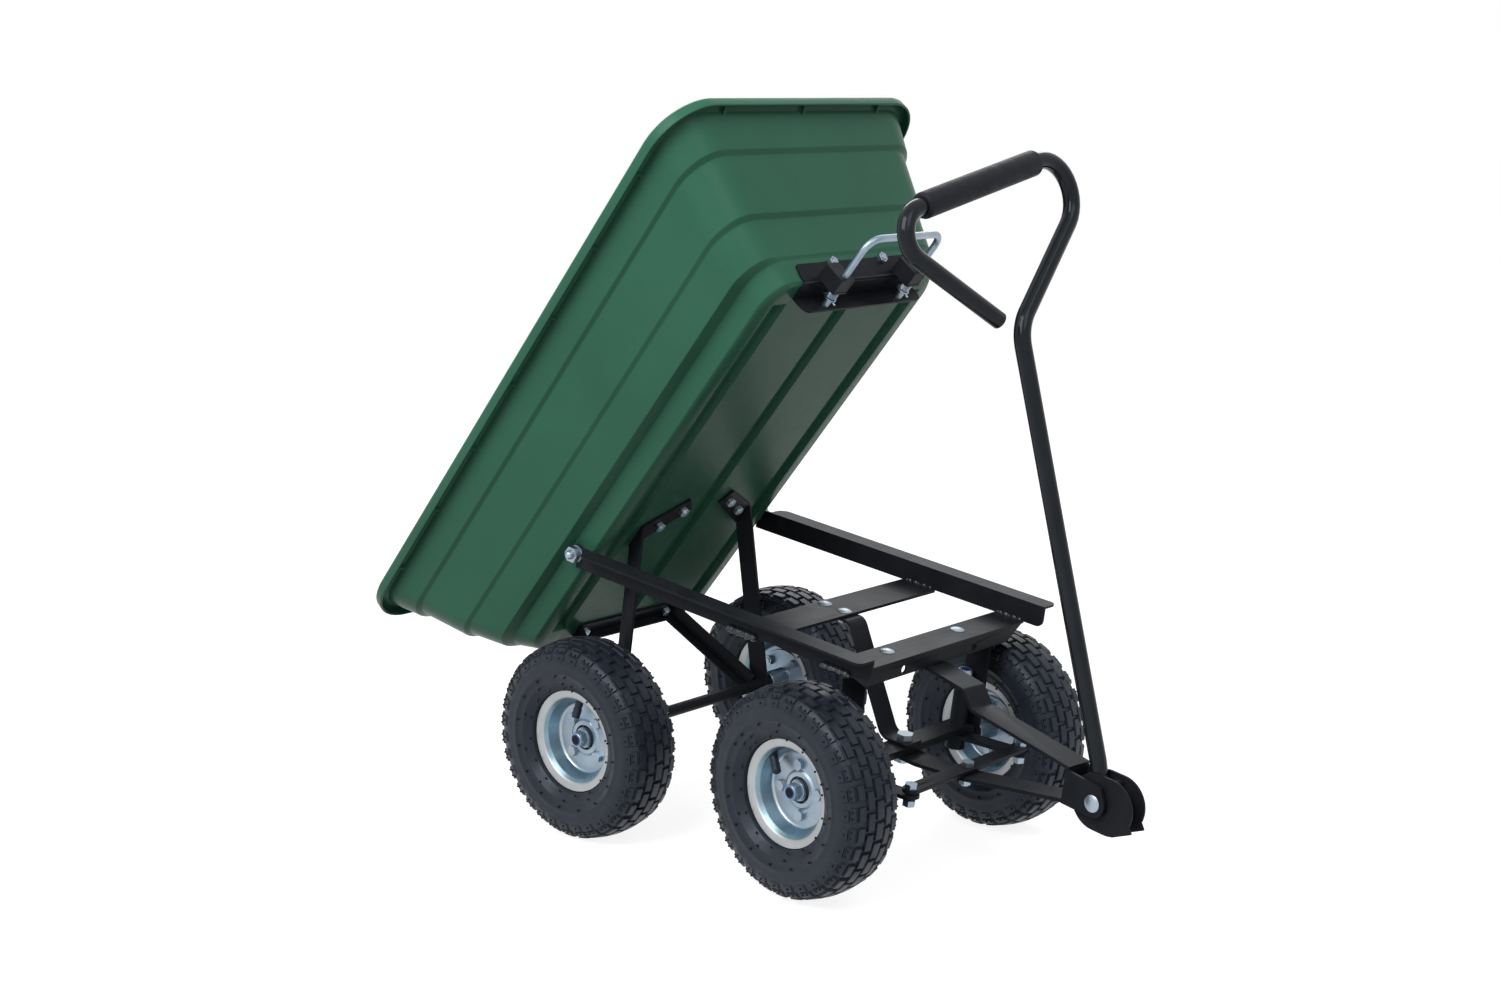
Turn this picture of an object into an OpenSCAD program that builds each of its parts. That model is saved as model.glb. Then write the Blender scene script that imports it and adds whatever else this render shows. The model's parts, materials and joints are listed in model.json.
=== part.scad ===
// Tipping dump cart: a moulded tray that tips back on a steel frame with four
// pneumatic wheels, a steered front axle and a folding pull handle. The cart
// stands as it is emptied: tray tipped, frame nose-down, front wheels turned.
// Millimetres, +X to the front, +Y to the cart's left, +Z up, ground at Z = 0.

/* [Stance] */
// Tip of the tray above level, degrees
tray_tip = 50; // [44:0.5:51]
// Turn of the front wheels to the left, degrees
steer = -5.5; // [-15:0.5:15]
// Where the front wheels have stopped rolling, degrees
front_roll = 145; // [0:5:355]
// Where the rear wheels have stopped rolling, degrees
rear_roll = 40; // [0:5:355]
// Lean of the handle back from the frame's own upright, degrees
handle_back = 18.6; // [14:0.2:20]
// Set of the handle to the right above the cheeks, degrees
handle_set = 6; // [0:0.5:6]

/* [Frame] */
// Hinge to front axle, along the frame
hinge_to_front = 420; // [400:1:440]
// Hinge above both axles, with the frame level
hinge_rise = 175; // [165:1:180]
// Rear axle behind the hinge, with the frame level
hinge_to_rear = 158; // [150:1:165]
// Room between the tray's flank and a rail, at the hinge
hinge_room = 3.78; // [3:0.01:8]
// Width of each flange of a rail
rail_w = 28; // [24:1:30]
// Thickness of the rails and the angle iron
angle_t = 3; // [2.5:0.5:4]
// Rail's front end ahead of the front axle
rail_front = 65; // [55:1:75]
// Hinge below the top of the rails
hinge_drop = 9; // [8:0.5:10]
// Depth of the front cross angle, front to back
cross_w = 44.5; // [40:0.5:48]
// Front face of the front cross angle ahead of the front axle
cross_front = 35.5; // [32:0.5:37]
// Height of the front cross angle
cross_h = 22; // [20:0.5:24]
// Width of the middle cross plate
plate_w = 54; // [48:1:60]
// Middle of the middle cross plate behind the front axle
plate_back = 133; // [120:1:150]
// Thickness of flat bar
bar_t = 4; // [3:0.5:5]

/* [Front axle] */
// Kingpin to the middle of the cart
kingpin_y = 114; // [112:0.5:118]
// Kingpin to the middle of a front wheel
stub_reach = 74.4; // [73:0.2:80]
// Length of the steering arms and of the drawbar's link
arm_len = 104; // [95:1:110]
// Width of the front axle beam
beam_w = 30; // [26:1:34]
// Thickness of the front axle beam
beam_h = 10; // [8:0.5:12]
// Diameter of a kingpin
kingpin_d = 14; // [12:0.5:15]
// Diameter of a kingpin tube
tube_d = 22; // [20:0.5:23]
// Top of the kingpin tubes above the axle
tube_top = 80; // [70:1:85]
// Width of the front axle bracket along the cart
bracket_w = 34; // [28:1:36]

/* [Wheels] */
// Diameter over the tread
tyre_d = 260; // [250:1:266]
// Width over the sidewalls
tyre_w = 85; // [76:1:86]
// Rear wheel's middle to the middle of the cart
rear_track = 197; // [196:0.5:205]
// Diameter over the rim flanges
rim_d = 133; // [128:1:138]
// Rim flange's outer face to the middle of the wheel
rim_half = 27; // [25:0.5:29]
// Thickness of the rim sheet
rim_t = 2; // [1.5:0.1:2.4]
// Diameter of the axles
axle_d = 16; // [14:0.5:17]
// Diameter of the hub tube
hub_d = 28; // [25:0.5:30]
// Length of the hub inside the wheel's middle
hub_in = 40; // [38:0.5:42]
// Tread blocks round one shoulder
tread_blocks = 22; // [16:1:28]

/* [Tray] */
// Bottom below the hinge
bottom_drop = 15; // [14:0.5:15]
// Height from the bottom to the underside of the rim
wall_h = 203; // [180:1:220]
// Half the width of the bottom
bottom_half = 160; // [156:0.5:161]
// Half the width under the rim
top_half = 226; // [220:0.5:228]
// Front of the bottom ahead of the hinge
bottom_front = 478; // [472:1:484]
// Front under the rim, ahead of the hinge
top_front = 572; // [560:1:584]
// Back of the bottom behind the hinge
bottom_back = 188; // [184:1:196]
// Back under the rim, behind the hinge
top_back = 316; // [300:1:330]
// Corner radius of the bottom
bottom_r = 40; // [30:1:50]
// Corner radius under the rim
top_r = 56; // [45:1:70]
// Thickness of the moulding
wall_t = 4; // [3:0.5:5]
// Reach of the rim past the wall
lip_reach = 16; // [14:0.5:20]
// Depth of the rim's turned-down skirt
lip_skirt = 16; // [12:0.5:20]
// Thickness of the rim
lip_t = 3; // [2:0.5:4]

/* [Rear axle stand] */
// Half the length of the stand's top bar
stand_top = 92; // [88:0.5:100]
// Stand's foot on the axle to the middle of the cart
stand_foot = 136; // [128:0.5:137]
// Width of the stand's angle iron
stand_w = 25; // [22:0.5:28]
// Strap's eye on the axle to the middle of the cart
strap_y = 144; // [143:0.2:145]
// Width of a brace strap
strap_w = 25; // [20:0.5:28]

/* [Latch] */
// Latch pin to the middle of the cart
latch_y = 72; // [68:0.5:76]
// Latch pins below the hinge
latch_drop = 33; // [31:0.5:34]
// Diameter of the latch rod
latch_d = 9; // [8:0.5:10]
// Reach of the latch loop ahead of the cross angle
loop_reach = 110; // [95:1:125]
// Curls in one latch spring
spring_curls = 4; // [3:1:5]
// Diameter of the spring wire
spring_wire = 1.4; // [1:0.1:1.4]

/* [Drawbar] */
// Handle bolt ahead of the front axle
bolt_x = 305; // [295:1:315]
// Handle bolt above the front axle
bolt_z = 60; // [56:0.5:64]
// Width of the drawbar's strips
strip_w = 38; // [34:0.5:40]
// Width of the tie rod
tie_w = 20; // [18:0.5:22]
// Outer width of the clevis
clevis_w = 40; // [39:0.5:44]
// Radius of the cam cheeks
cheek_r = 34; // [28:0.5:34]
// How far the cam cheeks are drawn out to the front
cheek_long = 17; // [12:0.5:20]

/* [Handle] */
// Diameter of the handle tube
handle_d = 20; // [18:0.5:20]
// Wall of the handle tube
handle_wall = 2; // [1.5:0.1:3]
// Height on the shaft where the loop's right branch starts
branch_s = 550; // [520:1:580]
// Height of the grip above the handle bolt
grip_s = 718; // [690:1:740]
// Slope of the grip across the shaft, degrees
grip_skew = 7; // [4:0.5:9]
// Slope of the loop's right branch, degrees
right_rise = 41; // [38:0.5:44]
// Slope of the loop's left branch, degrees
left_rise = 37; // [34:0.5:40]
// Bend radius on the right of the loop
right_bend = 44; // [40:1:46]
// Bend radius on the left of the loop
left_bend = 30; // [27:1:32]
// Cut end of the loop to the left of the shaft
stub_gap = 33; // [30:0.5:40]
// Height of the cut end above the handle bolt
stub_s = 563; // [545:1:580]
// Diameter of the foam grip
grip_d = 30; // [26:0.5:34]
// Length of the foam grip
grip_len = 202; // [170:1:204]

/* [Fasteners] */
// Diameter of the small bolts
bolt_d = 8; // [7:0.5:8.5]
// Diameter of the hinge bolts and the pivot bolts
pivot_d = 12; // [10:0.5:12]
// Diameter of the link bolts and the handle bolt
link_d = 9; // [8:0.5:10]

/* [Hidden] */
$fn = 48;

// Sides of the cart
RIGHT = -1;
LEFT = 1;

// Colours
black_coat = "#2b2c2f";
moulded_green = "#24553c";
zinc = "#b4bec6";
rubber = "#333437";
foam = "#1f1f21";

// Fits and allowances: a cut's overrun, a running fit, a loose gap and a sliding fit
overrun = 1;
run_fit = 0.05;
gap = 0.3;
bolt_fit = 0.1;

// Where the front axle, the hinge and the rear axle stand
near_pitch = 8;
wheel_r = tyre_d / 2;
front_lift = stub_reach * abs(sin(steer)) * sin(near_pitch);
hinge_z = wheel_r + hinge_to_rear * sin(tray_tip) + hinge_rise * cos(tray_tip);
front_z = wheel_r + front_lift;
hinge_arm = norm([hinge_to_front, hinge_rise]);
pitch = asin((hinge_z - front_z) / hinge_arm) - atan2(hinge_rise, hinge_to_front);
hinge_back = hinge_to_front * cos(pitch) - hinge_rise * sin(pitch);
tray_reach = (top_back + lip_reach) * cos(tray_tip) + (wall_h + lip_t - bottom_drop) * sin(tray_tip);
nose_reach = (bolt_x + cheek_long) * cos(steer) * cos(pitch) + bolt_z * sin(pitch) + cheek_r;
front_x = (hinge_back + tray_reach - nose_reach) / 2;
hinge_x = front_x - hinge_back;

// Heights in the frame, above the front axle
rail_top = hinge_rise + hinge_drop;
cross_top = rail_top - rail_w;
bracket_top = cross_top - angle_t;
stub_room = 1;
beam_bottom = axle_d / 2 + stub_room;
beam_top = beam_bottom + beam_h;
foot_top = beam_top + bar_t;

// Fastener heads and nuts, from the bolt's diameter
head_share = 0.62;
nut_share = 0.8;
across_share = 1.8;
dome_share = 1.15;
tail_share = 1.2;

// Hinge: lug, washers and nut
lug_r = 12;
lug_flange_gap = 23;
hinge_washer_r = 9;
hinge_washer_t = 2;

// Front axle bracket, brace and the steering linkage
cross_cut_share = 1.5;
plate_bolt_share = 0.3;
bracket_leg_in = 12;
bracket_r = 16;
bracket_rear = 10;
brace_w = 32;
brace_bend = 38;
brace_lean = 72;
strip_t = 5;
tie_t = 5;
tie_bottom = 21;
arm_w = 24;
arm_t = 5;
arm_top = 6;
arm_end_top = 19;
knuckle_r = 13;
knuckle_bottom = 14;

// Drawbar strips, as they run forward in the drawbar's own plane
eye_len = 20;
top_eye = cross_top - cross_h - gap;
top_flat = 40;
joggle_x = 97;
joggle_drop = 20;
joggle_run = 16;
top_slope = 7;
low_eye = beam_bottom - gap;
low_flat = 36;
low_rise_x = 110;
low_rise = 9.4;
clevis_t = 4;
clevis_back = 43;
clevis_top = 26;
clevis_bottom = 16;
clevis_end_r = 17;
low_end = 5;
weld_gap = 1.2;

// Wheel sections
bead_r = 58;
bead_half = 12;
bulge_r = 99;
tread_half = 26;
crown_drop = 3.5;
tread_depth = 5;
tread_slot = 7;
tread_groove = 5;
tread_rib = 8;
tyre_wall = 6;
tube_fit = 0.5;
tube_wall = 1.6;
dish_r = 45;
rim_fit = 0.15;
hub_out = 6;
hub_plate_r = 40;
hub_plate_t = 3;
rim_bolt_r = 31;
rim_bolt_d = 8;
rim_bolts_n = 4;
valve_d = 8;
valve_len = 44;
valve_in = 41;
valve_out = 15;
valve_lean = 23;
axle_collar = 3;
axle_collar_len = 6;
axle_washer_t = 2;
axle_washer_r = 12;
axle_thread_d = 12;
axle_end = 20.7;

// Tray moulding: shares of the height and of the spread to side, front and back, bottom first
wall_shares = [
    [0, 0, 0, 0], [0.02, 0.08, 0.04, 0.04], [0.15, 0.17, 0.14, 0.21], [0.172, 0.44, 0.17, 0.24],
    [0.40, 0.58, 0.35, 0.46], [0.42, 0.65, 0.42, 0.51], [0.765, 0.80, 0.72, 0.77], [0.783, 0.88, 0.79, 0.82],
    [1, 1, 1, 1]
];
corner_steps = 6;
lip_edge = 4;
groove_w = 26;
groove_depth = 8;
groove_slope_share = 0.6;
groove_y_share = 0.82;
groove_back_share = 0.8;
groove_front_share = 0.94;
gusset_t = 3;
gusset_h = 12;
gusset_pitch = 117;
gusset_first = 480;
gusset_count = 7;
gusset_end_share = 0.65;

// Straps and stand on the tray's bottom
strap_bend_u = 34;
strap_bolts = [[75, 46], [53, 77]];
strap_end = 14;
eye_r = 14;
eye_fit = 0.6;
stand_flange = 14;
stand_bolt_y = 80;
stand_bolt_u = 160;

// Latch bracket, its springs and the bolts that hold it
latch_plate_t = 2.5;
latch_plate_half = 115;
latch_ear_half = 20;
latch_ear_drop = 41;
latch_gap = 1.5;
channel_len = 22;
channel_w = 24;
channel_start = 29;
latch_tip = 0.5;
loop_r = 20;
tab_half = 62;
tab_h = 26;
tab_bolt_y = 48;
tab_bolt_w = 17;
spring_room = 11;
spring_rings = 8;
spring_sides = 6;
keeper_t = 2;
keeper_r = 8;
cotter_d = 2.4;
cotter_len = 22;

// Handle loop
shaft_bend = 50;
foot_end = 12;
set_s = 46;
tube_sides = 16;
bend_steps = 8;
cheek_t = 3;
cheek_tip = [54, -19];
cheek_tip_root_shares = [[0.95, 0.35], [0.35, 0.95]];
spacer_d = 10;
spacer_at = [14, 24];
washer_t = 2.3;

// Vector and outline helpers
function unit(v) = v / norm(v);
function mix(a, b, share) = a + (b - a) * share;
function flip(list) = [for (i = [len(list) - 1 : -1 : 0]) list[i]];

// Points of a rounded corner at b, between the directions to a and c
function corner(a, b, c, r, steps) =
    r == 0 ? [b] :
    let (p = unit(a - b), q = unit(c - b), half = acos(p * q) / 2, turn = 180 - 2 * half,
         mid = b + unit(p + q) * r / sin(half),
         from = b + p * r / tan(half) - mid, to = b + q * r / tan(half) - mid)
    [for (i = [0 : steps])
        mid + (sin(turn * (1 - i / steps)) * from + sin(turn * i / steps) * to) / sin(turn)];

// A path with its inner corners rounded
function rounded(path, radii, steps) = concat(
    [path[0]],
    [for (i = [1 : len(path) - 2]) each corner(path[i - 1], path[i], path[i + 1], radii[i - 1], steps)],
    [path[len(path) - 1]]);

// The same path moved sideways by t, with mitred corners
function side_dir(a, b) = let (d = unit(b - a)) [d.y, -d.x];
function moved(path, t) = [
    for (i = [0 : len(path) - 1])
        let (before = side_dir(path[max(i - 1, 0)], path[max(i, 1)]),
             after = side_dir(path[min(i, len(path) - 2)], path[min(i + 1, len(path) - 1)]),
             way = unit(before + after))
        path[i] + way * t / (way * after)];

// Outline of sheet of thickness t that follows a path, lying to the path's right
function sheet(path, t) = concat(path, flip(moved(path, t)));

// Solid through closed rings with equal counts of points, capped at both ends
module loft(rings) {
    n = len(rings[0]);
    last = len(rings) - 1;
    sides = [
        for (k = [0 : last - 1]) for (j = [0 : n - 1])
            let (a = k * n + j, b = k * n + (j + 1) % n)
            each [[a, a + n, b + n], [a, b + n, b]]];
    low = [for (j = [1 : n - 2]) [0, j, j + 1]];
    high = [for (j = [1 : n - 2]) [last * n, last * n + j + 1, last * n + j]];
    polyhedron(points = [for (r = rings) each r], faces = concat(sides, low, high), convexity = 8);
}

// Rings of a tube along a path; ref is a direction across the path, or one for each point
function along(path, i) = unit(
    unit(path[min(i + 1, len(path) - 1)] - path[min(i, len(path) - 2)])
    + unit(path[max(i, 1)] - path[max(i - 1, 0)]));
function tube_rings(path, ref, r, sides) = [
    for (i = [0 : len(path) - 1])
        let (t = along(path, i), n = unit(cross(is_list(ref[0]) ? ref[i] : ref, t)), b = cross(t, n))
        [for (j = [0 : sides - 1]) path[i] + r * (cos(360 * j / sides) * n + sin(360 * j / sides) * b)]];

// Frames of the moving groups
module in_frame() {
    translate([front_x, 0, front_z]) rotate([0, pitch, 0]) children();
}

module in_tray() {
    translate([hinge_x, 0, hinge_z]) rotate([0, -tray_tip, 0]) children();
}

module in_drawbar() {
    in_frame() rotate([0, 0, steer]) children();
}

module in_knuckle(side) {
    in_frame() translate([0, side * kingpin_y, 0]) rotate([0, 0, steer]) children();
}

module in_tie_rod() {
    in_frame() translate([arm_len * cos(steer), arm_len * sin(steer), 0]) children();
}

module in_handle() {
    in_drawbar() translate([bolt_x, 0, bolt_z]) rotate([0, -handle_back, 0]) children();
}

// A wheel's frame: +Z along the axle, outward, origin in the wheel's middle
module outward(side) {
    rotate([-90 * side, 0, 0]) children();
}

module on_front(side) {
    in_knuckle(side) translate([0, side * stub_reach, 0]) outward(side) children();
}

module on_rear(side) {
    in_tray() translate([-hinge_to_rear, side * rear_track, -hinge_rise]) outward(side) children();
}

// The same, turned to where the wheel has stopped rolling
module at_wheel(front, side) {
    if (front) on_front(side) rotate([0, 0, -side * front_roll]) children();
    else on_rear(side) rotate([0, 0, -side * rear_roll]) children();
}

// Sheet or bar laid along an outline in the XZ plane, centred across Y
module across(width) {
    translate([0, width / 2, 0]) rotate([90, 0, 0]) linear_extrude(width) children();
}

// Fasteners stand on Z = 0, shank downward
module shank(d, len) {
    translate([0, 0, -len]) cylinder(d = d, h = len);
}

module hex_head(d) {
    cylinder(d = d * across_share, h = d * head_share, $fn = 6);
}

module hex_bolt(d, len) {
    hex_head(d);
    shank(d, len);
}

module domed_bolt(d, len) {
    height = d * dome_share / 3;
    intersection() {
        cylinder(r = d * dome_share, h = height);
        translate([0, 0, height - d * dome_share * 2]) sphere(r = d * dome_share * 2);
    }
    shank(d, len);
}

module nut(d) {
    translate([0, 0, -d * nut_share]) difference() {
        cylinder(d = d * across_share, h = d * nut_share, $fn = 6);
        translate([0, 0, -overrun]) cylinder(d = d + 2 * run_fit, h = d * nut_share + 2 * overrun);
    }
}

module ring(r_out, r_in, h) {
    difference() {
        cylinder(r = r_out, h = h);
        translate([0, 0, -overrun]) cylinder(r = r_in, h = h + 2 * overrun);
    }
}

// Frame rails: the vertical flange ends at the back in the hinge lug
module rail(side) {
    color(black_coat) in_frame() difference() {
        union() {
            translate([0, side * (rail_y + angle_t / 2), 0]) across(angle_t) rail_outline();
            translate([0, 0, rail_top - angle_t]) linear_extrude(angle_t) rail_flange(side);
        }
        translate([-hinge_to_front, 0, hinge_rise]) rotate([90, 0, 0])
            cylinder(d = pivot_d + 2 * run_fit, h = 4 * rail_y, center = true);
    }
}

module rail_outline() {
    polygon(rounded(
        [[-hinge_to_front, rail_top], [rail_front, rail_top],
         [rail_front, cross_top], [-hinge_to_front, cross_top]],
        [0, rail_w / 3], bend_steps));
    translate([-hinge_to_front, hinge_rise]) circle(r = lug_r);
}

module rail_flange(side) {
    back = lug_flange_gap - hinge_to_front;
    outer = side * (rail_y + rail_w);
    polygon(rounded(
        [[back, side * rail_y], [back, outer], [rail_front, outer], [rail_front, side * rail_y]],
        [rail_w / 2, rail_w / 3], bend_steps));
}

module front_cross_angle() {
    half = rail_y + angle_t;
    low_half = half - cross_h * cross_cut_share;
    color(black_coat) in_frame() difference() {
        union() {
            translate([cross_front - cross_w, -half, cross_top - angle_t]) cube([cross_w, 2 * half, angle_t]);
            translate([cross_front - angle_t, 0, 0]) rotate([90, 0, 90]) linear_extrude(angle_t)
                polygon([[-half, cross_top], [half, cross_top], [low_half, cross_top - cross_h],
                         [-low_half, cross_top - cross_h]]);
        }
        for (side = [RIGHT, LEFT]) {
            translate([0, side * latch_y, hinge_rise - latch_drop]) rotate([0, 90, 0])
                cylinder(d = latch_d + 2 * gap, h = 2 * cross_front + overrun);
            frame_bolt_hole([carriage_x, side * latch_y]);
        }
    }
}

carriage_x = (cross_front - cross_w + bracket_w - bracket_rear) / 2;

module frame_bolt_hole(at) {
    translate([at.x, at.y, cross_top - rail_w]) cylinder(d = bolt_d + 2 * bolt_fit, h = 2 * rail_w);
}

plate_bolts = [for (k = [-1, 1]) [k * plate_w * plate_bolt_share - plate_back, 0]];

module middle_cross_plate() {
    half = rail_y + angle_t;
    color(black_coat) in_frame() difference() {
        translate([-plate_back - plate_w / 2, -half, cross_top - bar_t]) cube([plate_w, 2 * half, bar_t]);
        for (at = plate_bolts) frame_bolt_hole(at);
    }
}

// Front axle bracket: flat bar bent to an arch over the beam
module front_axle_bracket() {
    leg = kingpin_y + bracket_leg_in + bar_t;
    path = rounded([[-leg, beam_top], [-leg, bracket_top], [leg, bracket_top], [leg, beam_top]],
                   [bracket_r, bracket_r], bend_steps);
    color(black_coat) in_frame() difference() {
        translate([-bracket_rear, 0, 0]) rotate([90, 0, 90]) linear_extrude(bracket_w)
            polygon(sheet(path, bar_t));
        for (side = [RIGHT, LEFT]) frame_bolt_hole([carriage_x, side * latch_y]);
    }
}

module front_axle_beam() {
    half = kingpin_y + bracket_leg_in + bar_t + stub_room;
    color(black_coat) in_frame() difference() {
        union() {
            translate([-beam_w / 2, -half, beam_bottom]) cube([beam_w, 2 * half, beam_h]);
            for (side = [RIGHT, LEFT])
                translate([0, side * kingpin_y, beam_bottom])
                    cylinder(d = tube_d, h = tube_top - beam_bottom);
        }
        for (side = [RIGHT, LEFT])
            translate([0, side * kingpin_y, 0]) cylinder(d = kingpin_d + 2 * run_fit, h = 2 * tube_top);
        cylinder(d = pivot_d + 2 * bolt_fit, h = 2 * beam_top);
    }
}

module centre_brace() {
    under = cross_top - bar_t;
    path = rounded(
        [[-plate_back - plate_w / 2, under], [brace_bend - plate_back, under],
         [brace_bend - plate_back + brace_lean, foot_top], [beam_w / 2, foot_top]],
        [bracket_r, bracket_r], bend_steps);
    color(black_coat) in_frame() difference() {
        across(brace_w) polygon(sheet(path, bar_t));
        for (at = plate_bolts) frame_bolt_hole(at);
        cylinder(d = pivot_d + 2 * bolt_fit, h = 2 * foot_top);
    }
}

// Carriage bolts in the front angle and the middle plate, with their nuts
module frame_fasteners() {
    len = angle_t + bar_t + bolt_d * nut_share * tail_share;
    places = concat([for (side = [RIGHT, LEFT]) [carriage_x, side * latch_y, angle_t]],
                    [for (at = plate_bolts) [at.x, at.y, bar_t]]);
    color(zinc) in_frame() for (at = places) translate([at.x, at.y, cross_top]) {
        domed_bolt(bolt_d, len);
        translate([0, 0, -at.z - bar_t]) nut(bolt_d);
    }
}

// Bolt through the brace, the beam and the drawbar's lower strip
module lower_pivot_bolt() {
    seat = low_eye - strip_t - gap;
    color(zinc) in_frame() {
        translate([0, 0, foot_top]) hex_bolt(pivot_d, foot_top - seat + pivot_d * nut_share * tail_share);
        translate([0, 0, seat]) nut(pivot_d);
    }
}

// Stud under the bracket that the drawbar's upper strip turns on
module upper_pivot_stud() {
    seat = top_eye - bar_t - gap;
    collar = bracket_top - bar_t - top_eye - gap;
    color(zinc) in_frame() {
        translate([0, 0, top_eye + gap]) cylinder(r = hinge_washer_r, h = collar);
        translate([0, 0, top_eye + gap]) shank(pivot_d, bar_t + 2 * gap + pivot_d * nut_share * tail_share);
        translate([0, 0, seat]) nut(pivot_d);
    }
}

// Tray: rings up the outside, over the rim and down the inside
function plan(w, half, front, back, r) = [
    for (q = [0 : 3]) for (i = [0 : corner_steps])
        let (a = 90 * (q + i / corner_steps),
             u = q == 0 || q == 3 ? front - r : r - back, y = q < 2 ? half - r : r - half)
        [u + r * cos(a), y + r * sin(a), w]];
function wall_ring(row, out, up) = plan(
    row[0] * wall_h - bottom_drop + up, mix(bottom_half, top_half, row[1]) + out,
    mix(bottom_front, top_front, row[2]) + out, mix(bottom_back, top_back, row[3]) + out,
    mix(bottom_r, top_r, row[1]) + out);
rim_row = wall_shares[len(wall_shares) - 1];
lip_top = lip_t + lip_edge + lip_t;
lip_steps = [
    [lip_reach - lip_t, lip_top - lip_t], [lip_reach - lip_t, lip_top - lip_skirt],
    [lip_reach, lip_top - lip_skirt], [lip_reach, lip_top - lip_edge], [lip_reach - lip_edge, lip_top],
    [0, lip_top]
];
tray_rings = concat(
    [for (row = wall_shares) wall_ring(row, 0, 0)],
    [for (step = lip_steps) wall_ring(rim_row, step[0], step[1])],
    [for (row = flip(wall_shares)) wall_ring(row, -wall_t, wall_t)]);
groove_half = bottom_half * groove_y_share;
floor_w = wall_t - bottom_drop;

// Slope and place of the lowest part of the front wall, where the latch bracket is bolted
front_low = [mix(bottom_front, top_front, wall_shares[1][2]), wall_shares[1][0] * wall_h - bottom_drop];
front_high = [mix(bottom_front, top_front, wall_shares[2][2]), wall_shares[2][0] * wall_h - bottom_drop];
front_draft = atan2(front_high.x - front_low.x, front_high.y - front_low.y);
front_wall_t = wall_t * (cos(front_draft) + sin(front_draft));

module on_front_wall(y) {
    at = front_low + (front_high - front_low) * (tab_bolt_w / (front_high.y - front_low.y));
    translate([at.x, y, at.y]) rotate([0, 90 + front_draft, 0]) children();
}

module tray() {
    length = groove_back_share * bottom_back + groove_front_share * bottom_front;
    color(moulded_green) in_tray() difference() {
        union() {
            loft(tray_rings);
            for (k = [-1 : 1]) groove(k * groove_half, length + 2 * wall_t, groove_w + 2 * wall_t,
                                      groove_depth + wall_t);
            for (side = [RIGHT, LEFT]) for (k = [0 : gusset_count - 1])
                translate([gusset_first - k * gusset_pitch, 0, 0]) rotate([90, 0, 90 * side])
                    gusset(side, top_half);
            for (k = [-1 : 1]) translate([0, k * top_half * gusset_end_share, 0]) {
                rotate([90, 0, 0]) gusset(1, top_front);
                rotate([90, 0, 180]) gusset(1, top_back);
            }
        }
        for (k = [-1 : 1]) translate([0, 0, -overrun])
            groove(k * groove_half, length, groove_w, groove_depth + overrun);
        for (side = [RIGHT, LEFT]) outward(side) translate([0, 0, bottom_half - 2 * wall_t])
            cylinder(d = pivot_d + 2 * bolt_fit, h = rail_y);
        for (at = bottom_bolts) translate([at.x, at.y, -2 * bottom_drop])
            cylinder(d = bolt_d + 2 * bolt_fit, h = 2 * bottom_drop);
        for (side = [RIGHT, LEFT]) on_front_wall(side * tab_bolt_y)
            cylinder(d = bolt_d + 2 * bolt_fit, h = 4 * wall_t, center = true);
    }
}

// Long channel in the bottom, with its ridge inside
module groove(y, length, width, depth) {
    middle = (groove_front_share * bottom_front - groove_back_share * bottom_back) / 2;
    slope = depth * groove_slope_share;
    translate([middle, y, -bottom_drop]) rotate([90, 0, 90]) linear_extrude(length, center = true)
        polygon([[-width / 2, 0], [width / 2, 0], [width / 2 - slope, depth], [slope - width / 2, depth]]);
}

// Web between the wall and the rim's skirt
module gusset(side, wall) {
    top = wall_h - bottom_drop + lip_top - lip_t;
    translate([0, 0, -gusset_t / 2]) linear_extrude(gusset_t)
        polygon([[wall - wall_t / 2, top], [wall + lip_reach - lip_t / 2, top],
                 [wall + lip_reach - lip_t / 2, top - gusset_h / 2], [wall - wall_t / 2, top - gusset_h]]);
}

bottom_bolts = [for (side = [RIGHT, LEFT])
    each concat([for (at = strap_bolts) [at.x, side * at.y, bar_t]],
                [[-stand_bolt_u, side * stand_bolt_y, angle_t]])];

// Rear axle, with a collar inside each hub
function collar_end(track) = track - hub_in - gap;

module axle_journal(track) {
    end = track + hub_out + axle_washer_t;
    translate([0, 0, collar_end(track) - axle_collar_len])
        cylinder(r = axle_d / 2 + axle_collar, h = axle_collar_len);
    cylinder(d = axle_d, h = end);
    cylinder(d = axle_thread_d, h = track + axle_end);
}

module axle_nut() {
    translate([0, 0, hub_out + gap]) ring(axle_washer_r, axle_d / 2 + run_fit, axle_washer_t - gap);
    translate([0, 0, hub_out + axle_washer_t + axle_thread_d * nut_share]) nut(axle_thread_d);
}

module rear_axle() {
    color(black_coat) in_tray() translate([-hinge_to_rear, 0, -hinge_rise]) union() {
        for (side = [RIGHT, LEFT]) outward(side) axle_journal(rear_track);
    }
}

module rear_axle_nuts() {
    color(zinc) for (side = [RIGHT, LEFT]) on_rear(side) axle_nut();
}

// Stand: angle iron bent to an open trapezoid between the tray's bottom and the axle
module rear_stand() {
    foot_w = gap - hinge_rise + axle_d / 2;
    path = [[-stand_foot, foot_w], [-stand_top, -bottom_drop],
            [stand_top, -bottom_drop], [stand_foot, foot_w]];
    color(black_coat) in_tray() difference() {
        union() {
            translate([-stand_bolt_u - stand_w / 2, 0, 0]) rotate([90, 0, 90]) {
                linear_extrude(stand_w) polygon(level_sheet(path, angle_t));
                linear_extrude(angle_t) polygon(level_sheet(path, stand_flange));
            }
        }
        for (side = [RIGHT, LEFT]) translate([-stand_bolt_u, side * stand_bolt_y, -2 * bottom_drop])
            cylinder(d = bolt_d + 2 * bolt_fit, h = 2 * bottom_drop);
    }
}

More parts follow.
